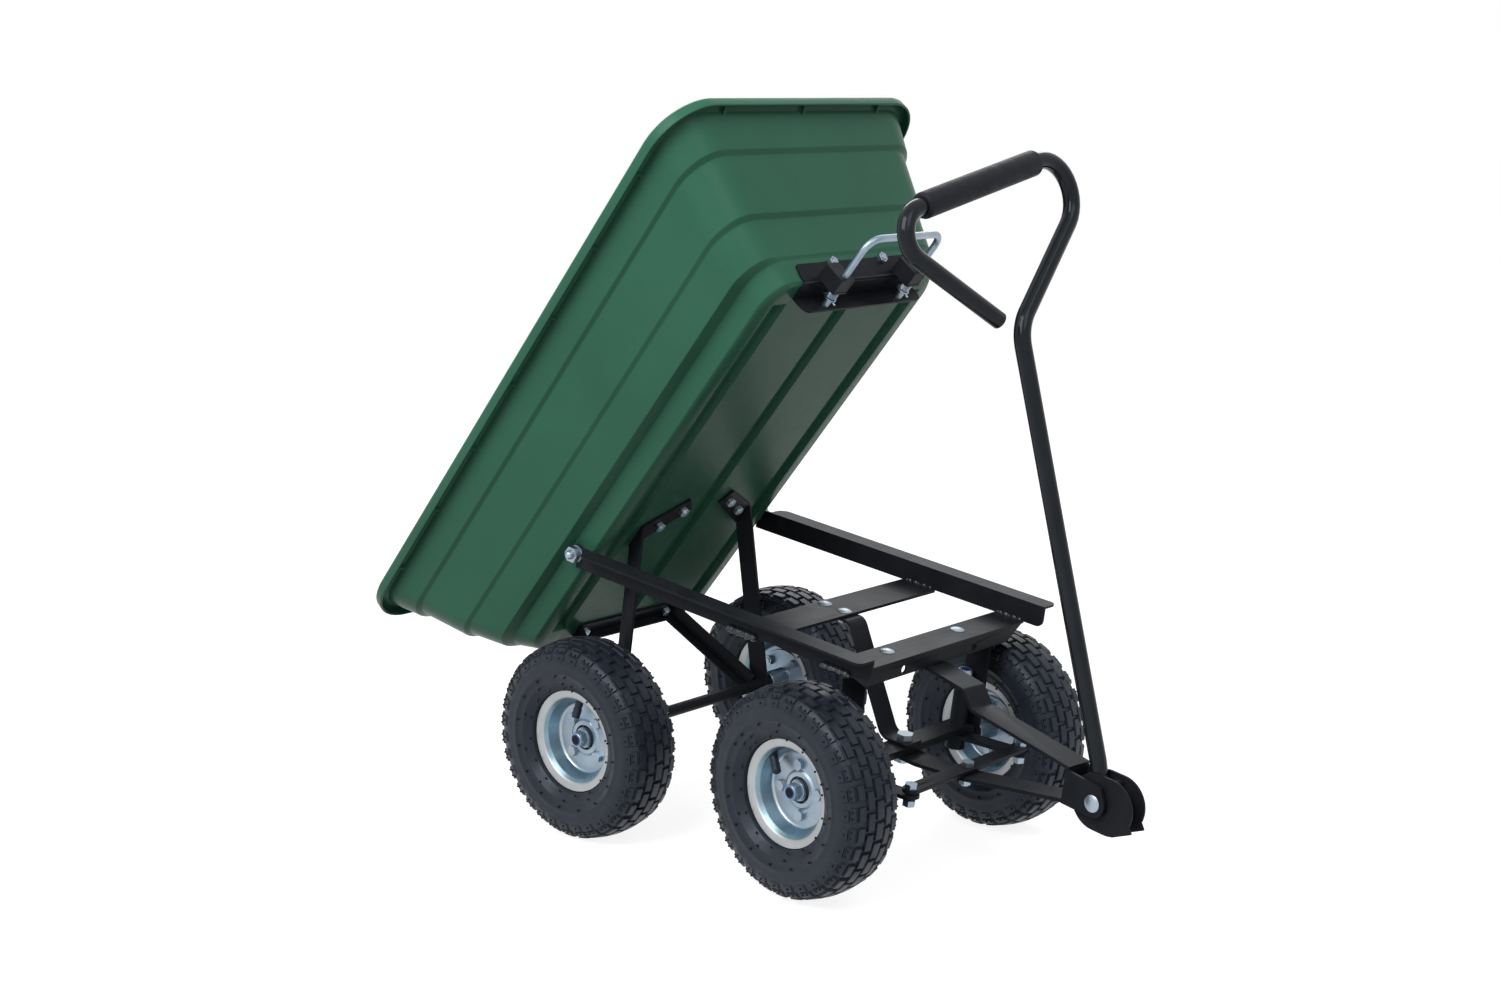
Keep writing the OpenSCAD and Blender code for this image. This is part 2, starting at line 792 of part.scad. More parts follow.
// Sheet along the stand's path, with its feet cut level
function level_sheet(path, t) =
    let (inner = moved(path, t), leg = path[1] - path[0], slip = t / sin(atan2(leg.y, leg.x)))
    concat(path, [[path[3].x - slip, path[3].y], inner[2], inner[1], [path[0].x + slip, path[0].y]]);

// Brace strap: leg with an eye on the axle, and a foot turned in under the tray
module brace_strap(side) {
    rise = hinge_rise - bottom_drop;
    run = strap_bend_u + hinge_to_rear;
    lean = atan2(strap_y - strap_top_y, rise);
    leg_v = rise / cos(lean) - bar_t;
    slope = atan2(leg_v, run);
    half = strap_w / 2;
    color(black_coat) in_tray() mirror([0, side < 0 ? 1 : 0, 0]) difference() {
        union() {
            translate([-hinge_to_rear, strap_y, -hinge_rise]) rotate([lean, 0, 0]) across(bar_t) {
                circle(r = eye_r);
                polygon([[half * sin(slope), -half * cos(slope)], [run + half / sin(slope), leg_v],
                         [run - half / sin(slope), leg_v], [-half * sin(slope), half * cos(slope)]]);
            }
            translate([0, 0, -bottom_drop - bar_t]) linear_extrude(bar_t) strap_foot();
        }
        translate([-hinge_to_rear, strap_y, -hinge_rise]) rotate([90, 0, 0])
            cylinder(r = axle_d / 2 + eye_fit, h = 4 * axle_d, center = true);
        for (at = strap_bolts) translate([at.x, at.y, -2 * hinge_rise])
            cylinder(d = bolt_d + 2 * bolt_fit, h = 4 * hinge_rise);
    }
}

strap_way = unit(strap_bolts[1] - strap_bolts[0]);
strap_bend_t = (strap_bend_u - strap_bolts[0].x) / strap_way.x;
strap_top_y = strap_bolts[0].y + strap_way.y * strap_bend_t;

module strap_foot() {
    start = strap_bolts[0] - strap_way * strap_end;
    end = [strap_bend_u, strap_top_y];
    half = strap_w / 2;
    cross_way = [-strap_way.y, strap_way.x] * half;
    lap = [half / sin(atan2(hinge_rise - bottom_drop, strap_bend_u + hinge_to_rear)), bar_t / 2];
    polygon([start + cross_way, start - cross_way, end + lap, end - [lap.x, -lap.y]]);
}

// Bolts through the tray: straps, stand and latch bracket
module tray_bolts() {
    color(zinc) in_tray() {
        for (at = bottom_bolts) translate([at.x, at.y, floor_w])
            hex_bolt(bolt_d, wall_t + at.z + bolt_d * nut_share * tail_share);
        for (side = [RIGHT, LEFT]) on_front_wall(side * tab_bolt_y)
            translate([0, 0, -front_wall_t]) rotate([180, 0, 0])
                hex_bolt(bolt_d, front_wall_t + latch_plate_t + bolt_d * nut_share * tail_share);
    }
}

module tray_nuts() {
    color(zinc) in_tray() {
        for (at = bottom_bolts) translate([at.x, at.y, -bottom_drop - at.z]) nut(bolt_d);
        for (side = [RIGHT, LEFT]) on_front_wall(side * tab_bolt_y)
            translate([0, 0, latch_plate_t + bolt_d * nut_share]) nut(bolt_d);
    }
}

// Tray's flank at the hinge, and the inner face of a rail beside it
hinge_flank = mix(bottom_half, top_half, wall_shares[2][1]);
rail_y = hinge_flank + hinge_room;

// Hinge bolts: head inside the tray, shank through the flank and the rail's lug
module hinge_bolts() {
    head = bottom_half - wall_t - gap;
    tip = rail_y + angle_t + gap + hinge_washer_t + pivot_d * nut_share * tail_share;
    color(zinc) in_tray() for (side = [RIGHT, LEFT]) outward(side) {
        translate([0, 0, tip]) shank(pivot_d, tip - head);
        translate([0, 0, tip]) intersection() {
            sphere(d = pivot_d);
            cylinder(d = pivot_d, h = pivot_d);
        }
        translate([0, 0, head]) rotate([180, 0, 0]) hex_head(pivot_d);
    }
}

// Spacers between the flank and the lug, and washers and lock nuts outside
module hinge_nuts() {
    outer = rail_y + angle_t + gap;
    spacer = hinge_flank + gap;
    color(zinc) in_tray() for (side = [RIGHT, LEFT]) outward(side) {
        translate([0, 0, spacer]) ring(hinge_washer_r, pivot_d / 2 + run_fit, rail_y - gap - spacer);
        translate([0, 0, outer]) ring(hinge_washer_r + hinge_washer_t, pivot_d / 2 + run_fit, hinge_washer_t);
        translate([0, 0, outer + hinge_washer_t + pivot_d * nut_share]) nut(pivot_d);
    }
}

// Latch: places along the tray, ahead of the cross angle's front face
angle_u = hinge_to_front + cross_front;
ear_u = angle_u + latch_gap;
channel_u = angle_u + channel_start;
keeper_u = channel_u - spring_room - gap - keeper_t;
cotter_u = keeper_u - cotter_d / 2 - gap / 2;

module along_latch(u, side) {
    translate([u, side * latch_y, -latch_drop]) rotate([0, 90, 0]) children();
}

module latch_bracket() {
    under = -bottom_drop - latch_plate_t;
    channel_drop = latch_ear_drop + under;
    plate_len = front_low.x + 2 * latch_plate_t - ear_u;
    color(black_coat) in_tray() difference() {
        union() {
            translate([ear_u, -latch_plate_half, under])
                cube([plate_len, 2 * latch_plate_half, latch_plate_t]);
            for (side = [RIGHT, LEFT]) {
                translate([ear_u, side * latch_y - latch_ear_half, -latch_ear_drop])
                    cube([latch_plate_t, 2 * latch_ear_half, latch_ear_drop + under + latch_plate_t]);
                translate([channel_u, side * latch_y - channel_w / 2, -latch_ear_drop])
                    cube([channel_len, channel_w, latch_ear_drop - bottom_drop]);
            }
            latch_tab();
        }
        for (side = [RIGHT, LEFT]) {
            translate([channel_u + channel_len / 2, side * latch_y, -latch_ear_drop - overrun])
                linear_extrude(channel_drop + overrun)
                    square([channel_len - 2 * latch_plate_t, channel_w - 2 * latch_plate_t], center = true);
            along_latch(angle_u, side) cylinder(d = latch_d + 2 * run_fit, h = 2 * channel_start);
            on_front_wall(side * tab_bolt_y)
                cylinder(d = bolt_d + 2 * bolt_fit, h = 4 * wall_t, center = true);
        }
    }
}

// Tab up the front wall, from the base plate's front edge
module latch_tab() {
    translate([front_low.x, -tab_half, front_low.y]) rotate([0, front_draft, 0])
        translate([0, 0, -bottom_drop - front_low.y - 2 * latch_plate_t])
            cube([latch_plate_t, 2 * tab_half, tab_h]);
}

// Latch rod: two pins joined by a finger loop
module latch_bail() {
    tip = angle_u + latch_tip;
    front = angle_u + loop_reach;
    path = rounded([[tip, -latch_y, 0], [front, -latch_y, 0], [front, latch_y, 0], [tip, latch_y, 0]],
                   [loop_r, loop_r], bend_steps);
    color(zinc) in_tray() difference() {
        union() {
            translate([0, 0, -latch_drop]) loft(tube_rings(path, [0, 0, 1], latch_d / 2, tube_sides));
            for (side = [RIGHT, LEFT]) along_latch(tip, side) cylinder(d = latch_d, h = front - loop_r - tip);
        }
        for (side = [RIGHT, LEFT]) along_latch(cotter_u, side) rotate([0, 90, 0])
            cylinder(d = cotter_d + 2 * bolt_fit, h = 2 * latch_d, center = true);
    }
}

// Springs round the latch pins, one unbroken wire each
spring_r = latch_d / 2 + spring_wire / 2 + gap;
spring_len = spring_room - spring_wire - gap;
spring_path = [for (i = [0 : spring_rings * spring_curls])
    [spring_r * cos(360 * i / spring_rings), spring_r * sin(360 * i / spring_rings),
     spring_wire / 2 + gap + spring_len * i / (spring_rings * spring_curls)]];
spring_refs = [for (p = spring_path) [p.x, p.y, 0]];
spring_gaps = [for (i = [0 : len(spring_path) - 1])
    for (j = [i + spring_rings / 2 : 1 : len(spring_path) - 1])
        norm(spring_path[i] - spring_path[j]) - spring_wire];
echo(least_spring_gap = min(spring_gaps));

module latch_springs() {
    color(zinc) in_tray() for (side = [RIGHT, LEFT]) along_latch(keeper_u + keeper_t, side)
        loft(tube_rings(spring_path, spring_refs, spring_wire / 2, spring_sides));
}

// Washers that the springs push on, held by cotter pins through the rod
module latch_keepers() {
    color(zinc) in_tray() for (side = [RIGHT, LEFT]) {
        along_latch(keeper_u, side) ring(keeper_r, latch_d / 2 + run_fit, keeper_t);
        along_latch(cotter_u, side) rotate([0, 90, 0]) cylinder(d = cotter_d, h = cotter_len, center = true);
    }
}

// Drawbar strips, with an eye at the back end
back_x = bolt_x - clevis_back;
top_end = bolt_z + clevis_top + bar_t;
top_path = rounded(
    [[-eye_len, top_eye], [top_flat, top_eye], [joggle_x, top_eye - top_slope],
     [joggle_x + joggle_run, top_eye - top_slope - joggle_drop], [back_x + clevis_t, top_end]],
    [strip_t, strip_t, strip_t], bend_steps);
low_path = rounded(
    [[-eye_len, low_eye], [low_flat, low_eye], [low_rise_x, low_eye + low_rise],
     [back_x - weld_gap, bolt_z - clevis_bottom + low_end]],
    [strip_w, strip_w], bend_steps);

module drawbar_top_strip() {
    color(black_coat) in_drawbar() difference() {
        across(strip_w) polygon(sheet(top_path, bar_t));
        cylinder(d = pivot_d + 2 * run_fit, h = 2 * top_eye);
    }
}

module drawbar_bottom_strip() {
    color(black_coat) in_drawbar() difference() {
        across(strip_w) polygon(sheet(low_path, strip_t));
        translate([0, 0, -pivot_d]) cylinder(d = pivot_d + 2 * run_fit, h = 2 * pivot_d);
        translate([arm_len, 0, 0]) cylinder(d = link_d + 2 * bolt_fit, h = tie_bottom);
    }
}

// Clevis: back plate and two side plates round the handle bolt
module handle_clevis() {
    top = bolt_z + clevis_top;
    bottom = bolt_z - clevis_bottom;
    nose = [[back_x, bottom], [back_x, top], [bolt_x + clevis_end_r / 2, top - clevis_t]];
    arc = [for (a = [35 : -10 : -90]) [bolt_x, bolt_z] + clevis_end_r * [cos(a), sin(a)]];
    color(black_coat) in_drawbar() difference() {
        union() {
            translate([back_x, -clevis_w / 2, bottom]) cube([clevis_t, clevis_w, top - bottom]);
            for (side = [RIGHT, LEFT]) translate([0, side * (clevis_w - clevis_t) / 2, 0])
                across(clevis_t) polygon(concat(nose, arc));
        }
        translate([bolt_x, 0, bolt_z]) rotate([90, 0, 0])
            cylinder(d = link_d + 2 * run_fit, h = 2 * clevis_w, center = true);
    }
}

// Bolt that links the tie rod to the drawbar's lower strip
module link_bolt() {
    seat = low_eye + low_rise - strip_t - tie_t;
    head = tie_bottom + tie_t + gap;
    color(zinc) in_drawbar() translate([arm_len, 0, 0]) {
        translate([0, 0, head]) hex_bolt(link_d, head - seat + link_d * nut_share);
        translate([0, 0, seat + tie_t / 2]) nut(link_d);
    }
}

// Handle bolt, its nut and the washers between plates and cheeks
module handle_bolt() {
    half = clevis_w / 2;
    inner = half - clevis_t - gap;
    color(zinc) in_drawbar() translate([bolt_x, 0, bolt_z]) {
        outward(RIGHT) translate([0, 0, half]) domed_bolt(link_d, clevis_w + link_d * nut_share * tail_share);
        outward(LEFT) translate([0, 0, half + link_d * nut_share]) nut(link_d);
        for (side = [RIGHT, LEFT]) outward(side) translate([0, 0, inner - washer_t])
            ring(link_d, link_d / 2 + run_fit, washer_t);
    }
}

module tie_rod() {
    color(black_coat) in_tie_rod() difference() {
        translate([0, 0, tie_bottom]) linear_extrude(tie_t) {
            square([tie_w, 2 * kingpin_y], center = true);
            for (side = [RIGHT, LEFT]) translate([0, side * kingpin_y]) circle(d = tie_w);
        }
        for (k = [-1 : 1]) translate([0, k * kingpin_y, 0])
            cylinder(d = link_d + 2 * run_fit, h = 2 * tie_bottom);
    }
}

module tie_rod_bolts() {
    seat = arm_end_top - arm_t - gap - arm_t / 2;
    head = tie_bottom + tie_t;
    color(zinc) in_tie_rod() for (side = [RIGHT, LEFT]) translate([0, side * kingpin_y, 0]) {
        translate([0, 0, head]) hex_bolt(link_d, head - seat + link_d * nut_share * tail_share);
        translate([0, 0, seat]) nut(link_d);
    }
}

// Knuckle: kingpin, stub axle and steering arm
module knuckle(side) {
    rise = atan2(arm_end_top - arm_top, arm_len);
    color(black_coat) in_knuckle(side) difference() {
        union() {
            translate([0, 0, -knuckle_bottom])
                cylinder(r = knuckle_r, h = knuckle_bottom + beam_bottom - gap);
            cylinder(d = kingpin_d, h = tube_top);
            cylinder(d = axle_thread_d, h = tube_top + axle_thread_d * nut_share * tail_share);
            outward(side) axle_journal(stub_reach);
            rotate([0, -rise, 0]) translate([0, 0, arm_top - arm_t]) linear_extrude(arm_t) {
                translate([0, -arm_w / 2]) square([arm_len / cos(rise), arm_w]);
                translate([arm_len / cos(rise), 0]) circle(d = arm_w);
            }
        }
        translate([arm_len, 0, 0]) cylinder(d = link_d + 4 * gap, h = 2 * tie_bottom);
    }
}

// Lock nut on the kingpin, washer and nut on the stub axle
module knuckle_nuts(side) {
    color(zinc) {
        in_knuckle(side) translate([0, 0, tube_top + gap + axle_thread_d * nut_share]) nut(axle_thread_d);
        on_front(side) axle_nut();
    }
}

// Handle: shaft and loop in the plane of Y and Z, grip across the top
function meet(p, a, q, b) =
    let (d = q - p, t = (d.x * sin(b) - d.y * cos(b)) / sin(b - a)) p + t * [cos(a), sin(a)];
grip_mid = [0, grip_s];
loop_start = [0, branch_s];
loop_end = [-stub_gap, stub_s];
loop_right = meet(loop_start, right_rise, grip_mid, grip_skew);
loop_left = meet(loop_end, 180 - left_rise, grip_mid, grip_skew);
grip_way = [cos(grip_skew), sin(grip_skew)];
grip_from = loop_left + grip_way * left_bend / tan((grip_skew + left_rise) / 2);
grip_to = loop_right - grip_way * right_bend / tan((right_rise - grip_skew) / 2);
function leaned(p) = let (d = p - [0, set_s])
    [0, d.x * cos(handle_set) - d.y * sin(handle_set), set_s + d.x * sin(handle_set) + d.y * cos(handle_set)];
loop_path = rounded([[0, set_s], loop_start, loop_right, loop_left, loop_end],
                    [shaft_bend, right_bend, left_bend], bend_steps);
function handle_line(past) = concat(
    [[0, 0, -foot_end - past]], [for (p = loop_path) leaned(p)],
    [leaned(loop_end + (past + overrun / 2) * [cos(left_rise), -sin(left_rise)])]);

// Tube with an open bore from end to end
module handle_tube() {
    color(black_coat) difference() {
        in_handle() difference() {
            loft(tube_rings(handle_line(0), [1, 0, 0], handle_d / 2, tube_sides));
            loft(tube_rings(handle_line(overrun), [1, 0, 0], handle_d / 2 - handle_wall, tube_sides));
        }
        in_drawbar() translate([bolt_x, 0, bolt_z]) rotate([90, 0, 0])
            cylinder(d = link_d + 2 * run_fit, h = 2 * clevis_w, center = true);
    }
}

module handle_grip() {
    color(foam) in_handle() translate(leaned((grip_from + grip_to) / 2))
        rotate([handle_set + grip_skew - 90, 0, 0]) translate([0, 0, -grip_len / 2])
            ring(grip_d / 2, handle_d / 2 + run_fit, grip_len);
}

function cheek_root(i) =
    [cheek_long + cheek_r * cheek_tip_root_shares[i].x, -cheek_r * cheek_tip_root_shares[i].y];

module cheek_outline() {
    difference() {
        union() {
            circle(r = cheek_r);
            translate([cheek_long, 0]) circle(r = cheek_r);
            translate([0, -cheek_r]) square([cheek_long, 2 * cheek_r]);
            polygon([[cheek_long, 0], cheek_root(0), cheek_tip, cheek_root(1)]);
        }
        circle(d = link_d + 2 * run_fit);
    }
}

module handle_cheeks() {
    color(black_coat) in_drawbar() translate([bolt_x, 0, bolt_z]) for (side = [RIGHT, LEFT])
        translate([0, side * (handle_d / 2 + gap + cheek_t / 2), 0]) across(cheek_t) cheek_outline();
}

module cheek_spacer() {
    color(black_coat) in_drawbar() translate([bolt_x + spacer_at.x, 0, bolt_z + spacer_at.y])
        rotate([90, 0, 0]) cylinder(d = spacer_d, h = handle_d + 2 * gap, center = true);
}

// Wheel sections, as radius and distance from the wheel's middle
half_w = tyre_w / 2;
flange_in = rim_half - rim_t;
bead_out = flange_in - gap;
function quarter(r0, z0, r1, z1, up) = [for (a = [0 : 15 : 90]) up
    ? [mix(r1, r0, cos(a)), mix(z0, z1, sin(a))]
    : [mix(r0, r1, sin(a)), mix(z1, z0, cos(a))]];
tyre_outer = concat(
    [[wheel_r, 0]],
    quarter(wheel_r - crown_drop, tread_half, bulge_r, half_w, true),
    quarter(bulge_r, half_w, rim_d / 2 + gap, bead_out, false),
    [[bead_r + rim_t / 2, bead_out], [bead_r + gap, bead_out - rim_t / 2], [bead_r + gap, bead_half]]);
cavity_r = (wheel_r - tyre_wall - crown_drop + rim_d / 2) / 2;
cavity_h = (wheel_r - tyre_wall - crown_drop - rim_d / 2) / 2;
cavity_w = half_w - tyre_wall;
function cavity(less) = [for (a = [0 : 15 : 345])
    [cavity_r + (cavity_h - less) * cos(a), (cavity_w - less) * sin(a)]];

module tyre(front, side) {
    outline = concat(tyre_outer, [for (p = flip(tyre_outer)) if (p.y > 0) [p.x, -p.y]]);
    color(rubber) at_wheel(front, side) difference() {
        rotate_extrude() difference() {
            polygon(outline);
            polygon(cavity(0));
            translate([0, -bead_half]) square([cavity_r, 2 * bead_half]);
            for (k = [-1, 1]) translate([wheel_r - tread_depth, k * tread_rib - tread_groove / 2])
                square([2 * tread_depth, tread_groove]);
        }
        for (k = [-1, 1]) for (i = [0 : tread_blocks - 1]) rotate([0, 0, (i + k / 4) * 360 / tread_blocks])
            translate([wheel_r - tread_depth, -tread_slot / 2, k * (tread_rib + tread_half) - tread_half])
                cube([2 * tread_depth, tread_slot, 2 * tread_half]);
    }
}

// Valve stem's line, through the outer rim half
module on_valve() {
    translate([valve_in, 0, valve_out]) rotate([0, 90 + valve_lean, 0]) children();
}

module inner_tube(front, side) {
    color(rubber) at_wheel(front, side) difference() {
        union() {
            rotate_extrude() difference() {
                polygon(cavity(tube_fit));
                polygon(cavity(tube_fit + tube_wall));
            }
            difference() {
                on_valve() cylinder(d = valve_d, h = valve_len);
                rotate_extrude() polygon(cavity(tube_fit + tube_wall));
            }
        }
    }
}

// Rim: two pressed halves, bolted back to back
function half_rim() = rounded(
    [[hub_d / 2 + gap, rim_fit], [dish_r, rim_fit], [bead_r, bead_half],
     [bead_r, flange_in], [rim_d / 2, flange_in]],
    [rim_t * 3, rim_t * 2, rim_t / 2], bend_steps);

module rim(front, side) {
    outline = sheet(flip(half_rim()), rim_t);
    color(zinc) at_wheel(front, side) {
        difference() {
            rotate_extrude() polygon(outline);
            rim_bolt_holes();
            on_valve() cylinder(d = valve_d + 2 * gap, h = valve_len);
        }
        difference() {
            mirror([0, 0, 1]) rotate_extrude() polygon(outline);
            rim_bolt_holes();
        }
    }
}

module round_rim_bolts() {
    for (i = [0 : rim_bolts_n - 1]) rotate([0, 0, (i + 1 / 2) * 360 / rim_bolts_n])
        translate([rim_bolt_r, 0, 0]) children();
}

module rim_bolt_holes() {
    round_rim_bolts() cylinder(d = rim_bolt_d + 2 * bolt_fit, h = 2 * hub_in, center = true);
}

hub_plate_out = -rim_t - 2 * rim_fit;

module hub(front, side) {
    color(zinc) at_wheel(front, side) difference() {
        union() {
            translate([0, 0, -hub_in]) cylinder(d = hub_d, h = hub_in + hub_out);
            translate([0, 0, hub_plate_out - hub_plate_t]) cylinder(r = hub_plate_r, h = hub_plate_t);
        }
        translate([0, 0, -2 * hub_in]) cylinder(d = axle_d + 2 * run_fit, h = 4 * hub_in);
        rim_bolt_holes();
    }
}

module rim_bolts(front, side) {
    head = rim_t + 2 * rim_fit;
    seat = hub_plate_out - hub_plate_t;
    color(zinc) at_wheel(front, side) round_rim_bolts() {
        translate([0, 0, head]) hex_bolt(rim_bolt_d, head - seat + rim_bolt_d * nut_share * tail_share);
        translate([0, 0, seat]) nut(rim_bolt_d);
    }
}

// What is drawn
rail(RIGHT);  // rail_right
rail(LEFT);  // rail_left
front_cross_angle();
middle_cross_plate();
front_axle_bracket();
front_axle_beam();
centre_brace();
frame_fasteners();
lower_pivot_bolt();
upper_pivot_stud();
tray();
rear_axle();
rear_stand();
brace_strap(RIGHT);  // brace_strap_right
brace_strap(LEFT);  // brace_strap_left
tray_bolts();
tray_nuts();
hinge_bolts();
hinge_nuts();
latch_bracket();
rear_axle_nuts();
latch_bail();
latch_springs();
latch_keepers();
drawbar_top_strip();
drawbar_bottom_strip();
handle_clevis();
link_bolt();
handle_bolt();
tie_rod();
tie_rod_bolts();
knuckle(RIGHT);  // knuckle_right
knuckle(LEFT);  // knuckle_left
knuckle_nuts(RIGHT);  // knuckle_nuts_right
knuckle_nuts(LEFT);  // knuckle_nuts_left
handle_tube();
handle_grip();
handle_cheeks();
cheek_spacer();
tyre(true, RIGHT);  // front_right_tyre
inner_tube(true, RIGHT);  // front_right_inner_tube
rim(true, RIGHT);  // front_right_rim
hub(true, RIGHT);  // front_right_hub
rim_bolts(true, RIGHT);  // front_right_rim_bolts
tyre(true, LEFT);  // front_left_tyre
inner_tube(true, LEFT);  // front_left_inner_tube
rim(true, LEFT);  // front_left_rim
hub(true, LEFT);  // front_left_hub
rim_bolts(true, LEFT);  // front_left_rim_bolts
tyre(false, RIGHT);  // rear_right_tyre
inner_tube(false, RIGHT);  // rear_right_inner_tube
rim(false, RIGHT);  // rear_right_rim
hub(false, RIGHT);  // rear_right_hub
rim_bolts(false, RIGHT);  // rear_right_rim_bolts
tyre(false, LEFT);  // rear_left_tyre
inner_tube(false, LEFT);  // rear_left_inner_tube
rim(false, LEFT);  // rear_left_rim
hub(false, LEFT);  // rear_left_hub
rim_bolts(false, LEFT);  // rear_left_rim_bolts
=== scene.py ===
"""Finished looks of a tipping dump cart: moulded tray, lugged tyres, pressed rims, bent tubes and finishes."""

import json
import math

import bmesh
import bpy
from bpy.props import FloatProperty, FloatVectorProperty, IntProperty, PointerProperty
from mathutils import Matrix, Vector


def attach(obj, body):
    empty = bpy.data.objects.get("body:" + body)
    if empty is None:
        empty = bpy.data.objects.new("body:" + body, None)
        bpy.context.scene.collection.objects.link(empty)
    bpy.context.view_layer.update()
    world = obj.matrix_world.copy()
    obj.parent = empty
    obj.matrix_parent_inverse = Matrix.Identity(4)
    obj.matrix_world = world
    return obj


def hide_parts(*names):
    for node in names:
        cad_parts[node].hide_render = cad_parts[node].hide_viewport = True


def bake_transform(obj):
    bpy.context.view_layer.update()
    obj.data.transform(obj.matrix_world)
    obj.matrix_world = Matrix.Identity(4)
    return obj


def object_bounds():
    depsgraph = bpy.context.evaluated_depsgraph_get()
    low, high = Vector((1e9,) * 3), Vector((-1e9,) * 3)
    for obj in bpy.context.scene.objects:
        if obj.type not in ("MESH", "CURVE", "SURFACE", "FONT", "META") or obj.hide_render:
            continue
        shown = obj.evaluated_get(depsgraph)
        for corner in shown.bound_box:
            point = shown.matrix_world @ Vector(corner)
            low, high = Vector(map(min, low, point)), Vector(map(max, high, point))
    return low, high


bl_info = {
    "name": "Tipping dump cart",
    "version": (1, 0, 0),
    "blender": (4, 5, 0),
    "location": "View3D > Sidebar > Cart",
    "description": "Dresses the solids of a tipping dump cart with finished pieces",
    "category": "Object",
}

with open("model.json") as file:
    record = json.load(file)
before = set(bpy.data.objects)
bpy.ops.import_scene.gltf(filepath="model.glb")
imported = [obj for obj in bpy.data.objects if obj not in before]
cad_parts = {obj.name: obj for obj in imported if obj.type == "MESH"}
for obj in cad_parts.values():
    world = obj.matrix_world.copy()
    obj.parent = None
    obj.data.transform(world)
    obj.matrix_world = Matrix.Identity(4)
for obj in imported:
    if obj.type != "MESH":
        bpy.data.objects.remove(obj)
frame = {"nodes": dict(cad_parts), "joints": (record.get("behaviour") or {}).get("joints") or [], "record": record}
CAD_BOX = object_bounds()
JOINTS = {joint["name"]: joint for joint in frame["joints"]}

# Points closer than this are one
MERGE = 0.00001

# Edges sharper than these angles show, and get a round
SHARP = math.radians(38)
HARD = math.radians(40)

# Bends smaller than this angle are straight
STRAIGHT = 0.01

# Kinds of items in a mesh
VERT, EDGE, FACE = bmesh.types.BMVert, bmesh.types.BMEdge, bmesh.types.BMFace

# Finishes of a piece after its first
SECOND, THIRD = 1, 2

# Steps round turned pieces, lock rings, valve stems and holes
TURNED_STEPS = 48
RING_STEPS = 36
STEM_STEPS = 24
HOLE_STEPS = 24

# Direction across the cart, and its wheels with their sides
ACROSS = Vector((0, 1, 0))
WHEELS = (("front_right", -1), ("front_left", 1), ("rear_right", -1), ("rear_left", 1))

# Tray walls from the bottom up: shares of the height, then of the spread at the sides, front and back
WALL_SHARES = (
    (0.0, 0.0, 0.0, 0.0),
    (0.02, 0.08, 0.04, 0.04),
    (0.15, 0.17, 0.14, 0.21),
    (0.172, 0.44, 0.17, 0.24),
    (0.40, 0.58, 0.35, 0.46),
    (0.42, 0.65, 0.42, 0.51),
    (0.765, 0.80, 0.72, 0.77),
    (0.783, 0.88, 0.79, 0.82),
    (1.0, 1.0, 1.0, 1.0),
)

# Rim of the tray from the outer wall over to the inner wall: out and up, as shares of the rim's reach
RIM_SHARES = ((0.81, 0.44), (0.81, -0.38), (1.0, -0.38), (1.0, 0.38), (0.75, 0.62), (0.0, 0.62))

# Channels in the tray's bottom: places across and ends along, as shares of the bottom, and their sides' slope
CHANNEL_ROWS = (-0.82, 0, 0.82)
CHANNEL_BACK = -0.8
CHANNEL_FRONT = 0.94
CHANNEL_SLOPE = 0.6

# Webs under the rim: number on a side, places on an end, reach and top as shares of the rim's reach
SIDE_WEBS = 7
END_WEBS = (-0.65, 0, 0.65)
WEB_REACH = 0.9
WEB_TOP = RIM_SHARES[0][1]

# Tread rows from the middle out: place as a share of the half tread, and the block that starts there
CROWN_ROWS = ((0.0, "middle"), (0.24, "groove"), (0.30, "inner"), (0.72, "groove"), (0.79, "shoulder"))

# Shoulder rows: angle round the shoulder in degrees, and the block that starts there
SHOULDER_ROWS = ((0, "shoulder"), (10, "shoulder"), (20, "groove"), (24, "lug"), (36, "lug"), (48, "groove"),
                 (51, "panel"), (62, "panel"), (73, "groove"), (80, "groove"))

# Side wall rows: angle in degrees from the widest line to the bead, and how far a ring stands out
SIDE_ROWS = ((0, 0.0), (12, 0.0), (14, 0.0006), (17, 0.0006), (19, 0.0), (34, 0.0), (36, 0.0005), (39, 0.0005),
             (41, 0.0), (56, 0.0), (70, 0.0), (74, 0.0012), (84, 0.0012), (90, 0.0))

# Blocks of the tread: columns they cover, shift on the outer side, shift on the inner side, share of the depth
BLOCKS = {
    "middle": (7, 0, 0, 1.0),
    "inner": (7, 4, 3, 1.0),
    "shoulder": (6, 0, 7, 1.0),
    "lug": (6, 0, 7, 0.72),
    "panel": (5, 0, 7, 0.46),
}

# Share of a block's height that shows, and the slope of its sides
BLOCK_RISE = 0.94
BLOCK_SLOPE = 0.0006

# Share of the tread's depth by which the widest line lies in
WALL_SINK = 0.25

# Inside of a tyre: its crown's thickness, half widths at the bead, the widest line and the crown, and its rounds
CROWN_T = 0.015
BEAD_HALF = 0.019
ROOM_HALF = 0.036
CROWN_HALF = 0.020
BORE_ROUNDS = (0, 0.012, 0.008, 0.008, 0.012, 0)

